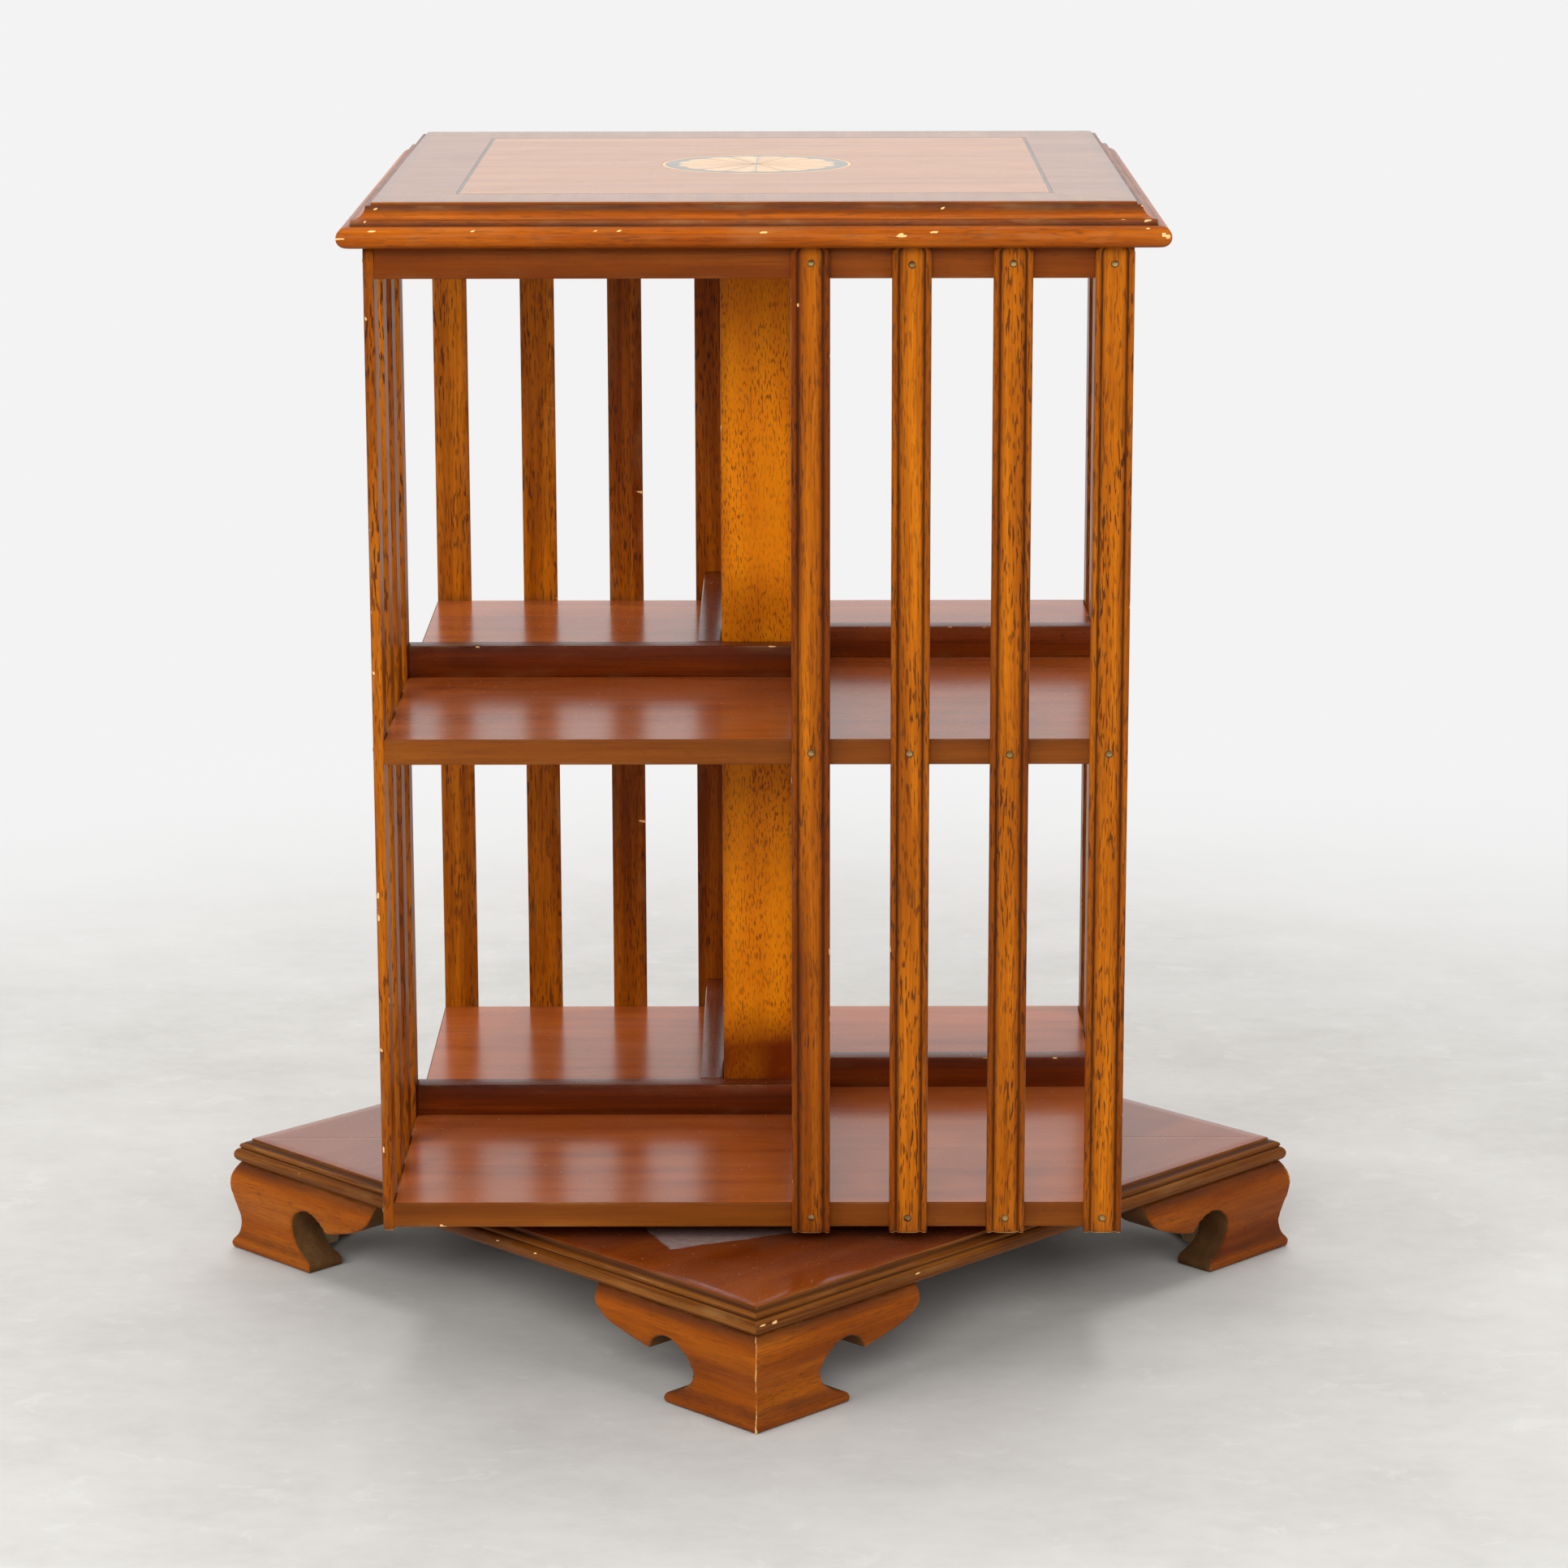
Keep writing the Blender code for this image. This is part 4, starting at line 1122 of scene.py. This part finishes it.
def bracket(name, node, side, seed, turn):
    """One half of a foot, facing -Y before it is turned; side is the X side of its mitre."""
    flat, cells, rim = bracket_sheet()
    x, z = flat[:, 0], flat[:, 1]
    count, m = len(flat), len(rim)
    corner = x > FOOT_CORNER - 0.5
    eased = np.zeros(count, bool)
    eased[rim] = True
    eased &= ~corner
    inward = np.zeros((count, 2))
    inward[rim] = section_normals(flat[rim])        # inward, as the rim runs clockwise

    # wear of the rim, the mitre and the toe
    coarse = value_noise(x * 0.12, z * 0.12, 0.5, seed)
    fine = value_noise(x * 0.6, z * 0.6, 3.5, seed + 5)
    ease = np.where(eased, 0.28 + 0.30 * coarse, 0.0)
    chip = np.where(eased & (fine > 0.70), 0.35 * (fine - 0.70) / 0.3, 0.0)
    mitre_wear = np.where(corner, 0.25 + 0.55 * value_noise(z * 0.22, 2.2, 0.0, seed + 9), 0.0)
    toe_wear = np.where(z < 7.0, 0.25 * value_noise(x * 0.2, z * 0.4, 1.0, seed + 19), 0.0)

    # worn face, the line just behind its arris, and the back
    face = foot_face(z)
    front_y = face - ease * 0.6 - chip - mitre_wear * 0.5 - toe_wear
    cut = inward * (ease + chip)[:, None]
    front = np.stack([stretch(x + cut[:, 0], front_y), front_y, z + cut[:, 1]], -1)
    behind = np.stack([stretch(x, face - 0.7), np.where(corner, face - 0.7, face - 0.75), z], -1)
    back = np.stack([stretch(x, FOOT_BACK), np.full(count, FOOT_BACK), z], -1)
    wall_rings = 7
    walls = [behind[rim] * (1 - k / wall_rings) + back[rim] * (k / wall_rings)
             for k in range(wall_rings)]
    verts = np.concatenate([front, back] + walls)

    rows = [rim]
    rows += [[2 * count + q * m + i for i in range(m)] for q in range(wall_rings)]
    rows += [[count + i for i in rim]]
    faces = [list(cell) for cell in cells]
    faces += [[count + i for i in reversed(cell)] for cell in cells]
    for near, far in zip(rows, rows[1:]):
        for i in range(m):
            j = (i + 1) % m
            faces.append([near[j], near[i], far[i], far[j]])
    face_mat = [0] * len(cells) + [1] * len(cells) + [0] * m + [1] * (m * wall_rings)

    first_wall = slice(2 * count, 2 * count + m)
    wear = np.zeros(len(verts))
    spots = np.where(eased, 0.30 + 0.55 * fine, 0)
    spots = np.maximum(spots, np.where(z < 7, 0.75 * (fine > 0.86), 0))
    spots = np.maximum(spots, np.where(fine * coarse > 0.74, 0.9, 0))
    bare = np.clip(-0.10 + 1.15 * mitre_wear + 0.45 * np.exp(-(z / 2.2)), 0, 1)
    wear[:count] = np.where(corner, bare, 0.45 * spots)
    wear[first_wall] = 0.35
    edge = np.zeros(len(verts))
    edge[:count] = np.where(eased, 0.75, 0) + np.where(corner, 1.0, 0)
    edge[first_wall] = 0.6
    # painted shade along the top under the plinth and just above the floor; darker in a band low on
    # the ogee and along the cut edges
    dirt = np.zeros(len(verts))
    dirt[:count] = np.clip(
        0.80 * smooth(51.0, 61.0, z)
        + 0.62 * np.exp(-((z - 9.5) / 4.0) ** 2) * (0.6 + 0.5 * coarse)
        + 0.30 * (1 - smooth(0.0, 6.0, z)) + np.where(eased, 0.35, 0.0), 0, 1)

    if side > 0:
        faces = [cell[::-1] for cell in faces]
    make_object(name, verts * [side, -1, 1], faces, [FOOT_WOOD, INSIDE_WOOD], "foot_wood",
                face_mat=face_mat, boards=[(GRAIN_UPRIGHT_X, board_offset(seed))], wear=wear,
                dirt=dirt, edge=edge, tint=np.random.default_rng(seed).uniform(-0.6, 0.6),
                body="base", replaces=node, angle=42, turn=turn)


for k, corner in enumerate(SIDES):
    turn = math.radians(-45 + 90 * k)
    bracket(f"wood_foot_{corner}_a", f"foot_{corner}_bracket_a", +1, 800 + k, turn)
    bracket(f"wood_foot_{corner}_b", f"foot_{corner}_bracket_b", -1, 820 + k, turn + QUARTER)

# ---------------------------------------------------------------- pieces that keep their shape
KEPT = (
    (STEEL, ("spindle_post", "spindle_flange", "spindle_washer", "spindle_nut")),
    (WASHER, ("thrust_washer_lower", "thrust_washer_upper", "guide_bush_lower",
              "guide_bush_upper")),
    (RAW_WOOD, ("guide_block_upper", *(f"foot_{corner}_glue_block" for corner in SIDES))),
)
for material, kept_nodes in KEPT:
    for node in kept_nodes:
        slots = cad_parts[node].data.materials
        slots.clear()
        slots.append(material)

# ---------------------------------------------------------------- floor
BACKDROP = (0.895,) * 3


def floor_material():
    """Mottled floor that fades to the backdrop further out, clear from below."""
    tree = new_material("studio_floor")
    place = tree.node("ShaderNodeNewGeometry").outputs["Position"]
    x, y, _ = tree.axes(place)
    cloud = tree.noise(place, scale=(2.6, 3.4, 1.0), detail=7.0, rough=0.68, warp=0.3)
    grit = tree.noise(place, scale=(55.0, 70.0, 1.0), detail=6.0, rough=0.72)
    flake = tree.noise(place, scale=(26.0, 34.0, 1.0), shift=(5, 1, 0), detail=5.0, rough=0.7,
                       warp=0.5)
    flake = tree.step(flake, over=(0.60, 0.63))
    spot = tree.noise(place, scale=(9.0, 12.0, 1.0), shift=(1, 3, 0), detail=4.0, rough=0.6)
    mottle = tree.add(tree.mul(cloud, 0.45), tree.add(tree.mul(spot, 0.30), tree.mul(grit, 0.25)))
    colour = tree.ramp(mottle, [(0.36, (0.478, 0.467, 0.443)), (0.50, (0.540, 0.530, 0.507)),
                                (0.64, (0.586, 0.578, 0.558))])
    colour = tree.mix(tree.mul(flake, 0.22), colour, (0.66, 0.652, 0.638))
    level = tree.node("ShaderNodeCombineXYZ", {0: x, 1: y}).outputs[0]
    away = tree.node("ShaderNodeVectorMath", {0: level}, operation="LENGTH").outputs["Value"]
    colour = tree.mix(tree.step(away, over=(0.60, 1.6)), colour, (0.66, 0.66, 0.66))
    surface = tree.node("ShaderNodeBsdfPrincipled", {
        "Base Color": colour, "Roughness": 0.75, "Specular IOR Level": 0.2,
        "Normal": tree.bump(mottle, strength=0.25, distance=0.002)})
    glow = tree.node("ShaderNodeEmission", {0: BACKDROP})
    faded = tree.node("ShaderNodeMixShader", {
        0: tree.step(away, over=(0.80, 1.80)), 1: surface.outputs[0], 2: glow.outputs[0]})
    clear = tree.node("ShaderNodeBsdfTransparent")
    below = tree.node("ShaderNodeNewGeometry").outputs["Backfacing"]
    shown = tree.node("ShaderNodeMixShader", {0: below, 1: faded.outputs[0],
                                              2: clear.outputs[0]})
    tree.node("ShaderNodeOutputMaterial", {0: shown.outputs[0]})
    return tree.owner


def floor():
    """A disc in metres, just under z = 0."""
    radii, points, z = [0.5, 1.0, 2.0, 4.0, 9.0], 64, -0.0003
    material = floor_material()
    verts = [(0.0, 0.0, z)]
    for radius in radii:
        verts += [(radius * math.cos(angle), radius * math.sin(angle), z)
                  for angle in np.linspace(0, 2 * math.pi, points + 1)[:-1]]
    faces = [(0, 1 + q, 1 + (q + 1) % points) for q in range(points)]
    faces += [tuple(int(i) for i in face)
              for face in grid_faces(len(radii), points, base=1, flip=True)]
    mesh = bpy.data.meshes.new("studio_floor")
    mesh.from_pydata(verts, [], faces)
    mesh.materials.append(material)
    mesh.update()
    obj = bpy.data.objects.new("studio_floor", mesh)
    bpy.context.scene.collection.objects.link(obj)


floor()


# ---------------------------------------------------------------- lights
def area_light(name, place, aim, size, watts):
    data = bpy.data.lights.new(name, "AREA")
    data.shape = "RECTANGLE"
    data.size, data.size_y = size
    data.energy = watts
    obj = bpy.data.objects.new(name, data)
    bpy.context.scene.collection.objects.link(obj)
    obj.location = place
    obj.rotation_euler = (Vector(aim) - Vector(place)).to_track_quat("-Z", "Y").to_euler()
    obj.visible_camera = False
    return obj


def soft_box(name, place, size, watts, sheen, aim=(0, 0, 0.35)):
    """A light with no reflection, and a share of its power in its place for the sheen."""
    area_light(name, place, aim, size, watts * (1 - sheen)).visible_glossy = False
    if sheen:
        area_light(name + "_sheen", place, aim, size, watts * sheen)


soft_box("key_left", place=(-2.6, -2.2, 1.9), size=(1.7, 1.7), watts=52, sheen=0.10)
soft_box("fill_right", place=(2.7, -2.1, 1.7), size=(1.7, 1.7), watts=23, sheen=0.10)
soft_box("front", place=(-0.2, -3.4, 1.95), size=(2.2, 1.2), watts=84, sheen=0.04)
soft_box("overhead", place=(0.0, 0.6, 4.3), size=(2.4, 2.0), watts=125, sheen=0.2,
         aim=(0, 0.1, 0))
soft_box("back", place=(0.2, 3.6, 2.2), size=(2.6, 1.6), watts=60, sheen=0.0)


# ---------------------------------------------------------------- world and camera
def studio_world():
    """Backdrop for the camera, even grey for diffuse light, brighter to the back in sheen."""
    world = bpy.data.worlds.new("studio")
    bpy.context.scene.world = world
    tree = Shader(world)
    background = tree.nodes["Background"]
    background.inputs[1].default_value = 1.0
    sheen = tree.step(tree.axes(tree.coordinates("Generated"))[1], over=(-0.5, 0.6),
                      to=(0.45, BACKDROP[0]), shape="LINEAR")
    ray = tree.node("ShaderNodeLightPath").outputs
    lit = tree.mix(ray["Is Diffuse Ray"], sheen, (0.32, 0.32, 0.32))
    tree.put(tree.mix(ray["Is Camera Ray"], lit, BACKDROP), background.inputs[0])


def photo_camera():
    camera = bpy.data.cameras.new("photo_view")
    camera.sensor_width = 36.0
    camera.lens = 109.46757764
    camera.shift_y = 0.00189440994
    camera.clip_end = 50.0
    obj = bpy.data.objects.new("photo_view", camera)
    bpy.context.scene.collection.objects.link(obj)
    yaw, pitch, roll = 0.0023439, -0.2278602, 0.0019152
    turn = (Matrix.Rotation(yaw, 3, "Z") @ Matrix.Rotation(pitch, 3, "X")
            @ Matrix.Rotation(roll, 3, "Y"))
    level = Matrix(((1, 0, 0), (0, 0, -1), (0, 1, 0)))      # looking along +Y, upright
    place = Vector((24.211, -3108.561, 1043.363)) * MM
    obj.matrix_world = Matrix.Translation(place) @ (turn @ level).to_4x4()
    bpy.context.scene.camera = obj


studio_world()
photo_camera()
bpy.context.scene.view_settings.view_transform = "Standard"

bpy.context.view_layer.update()
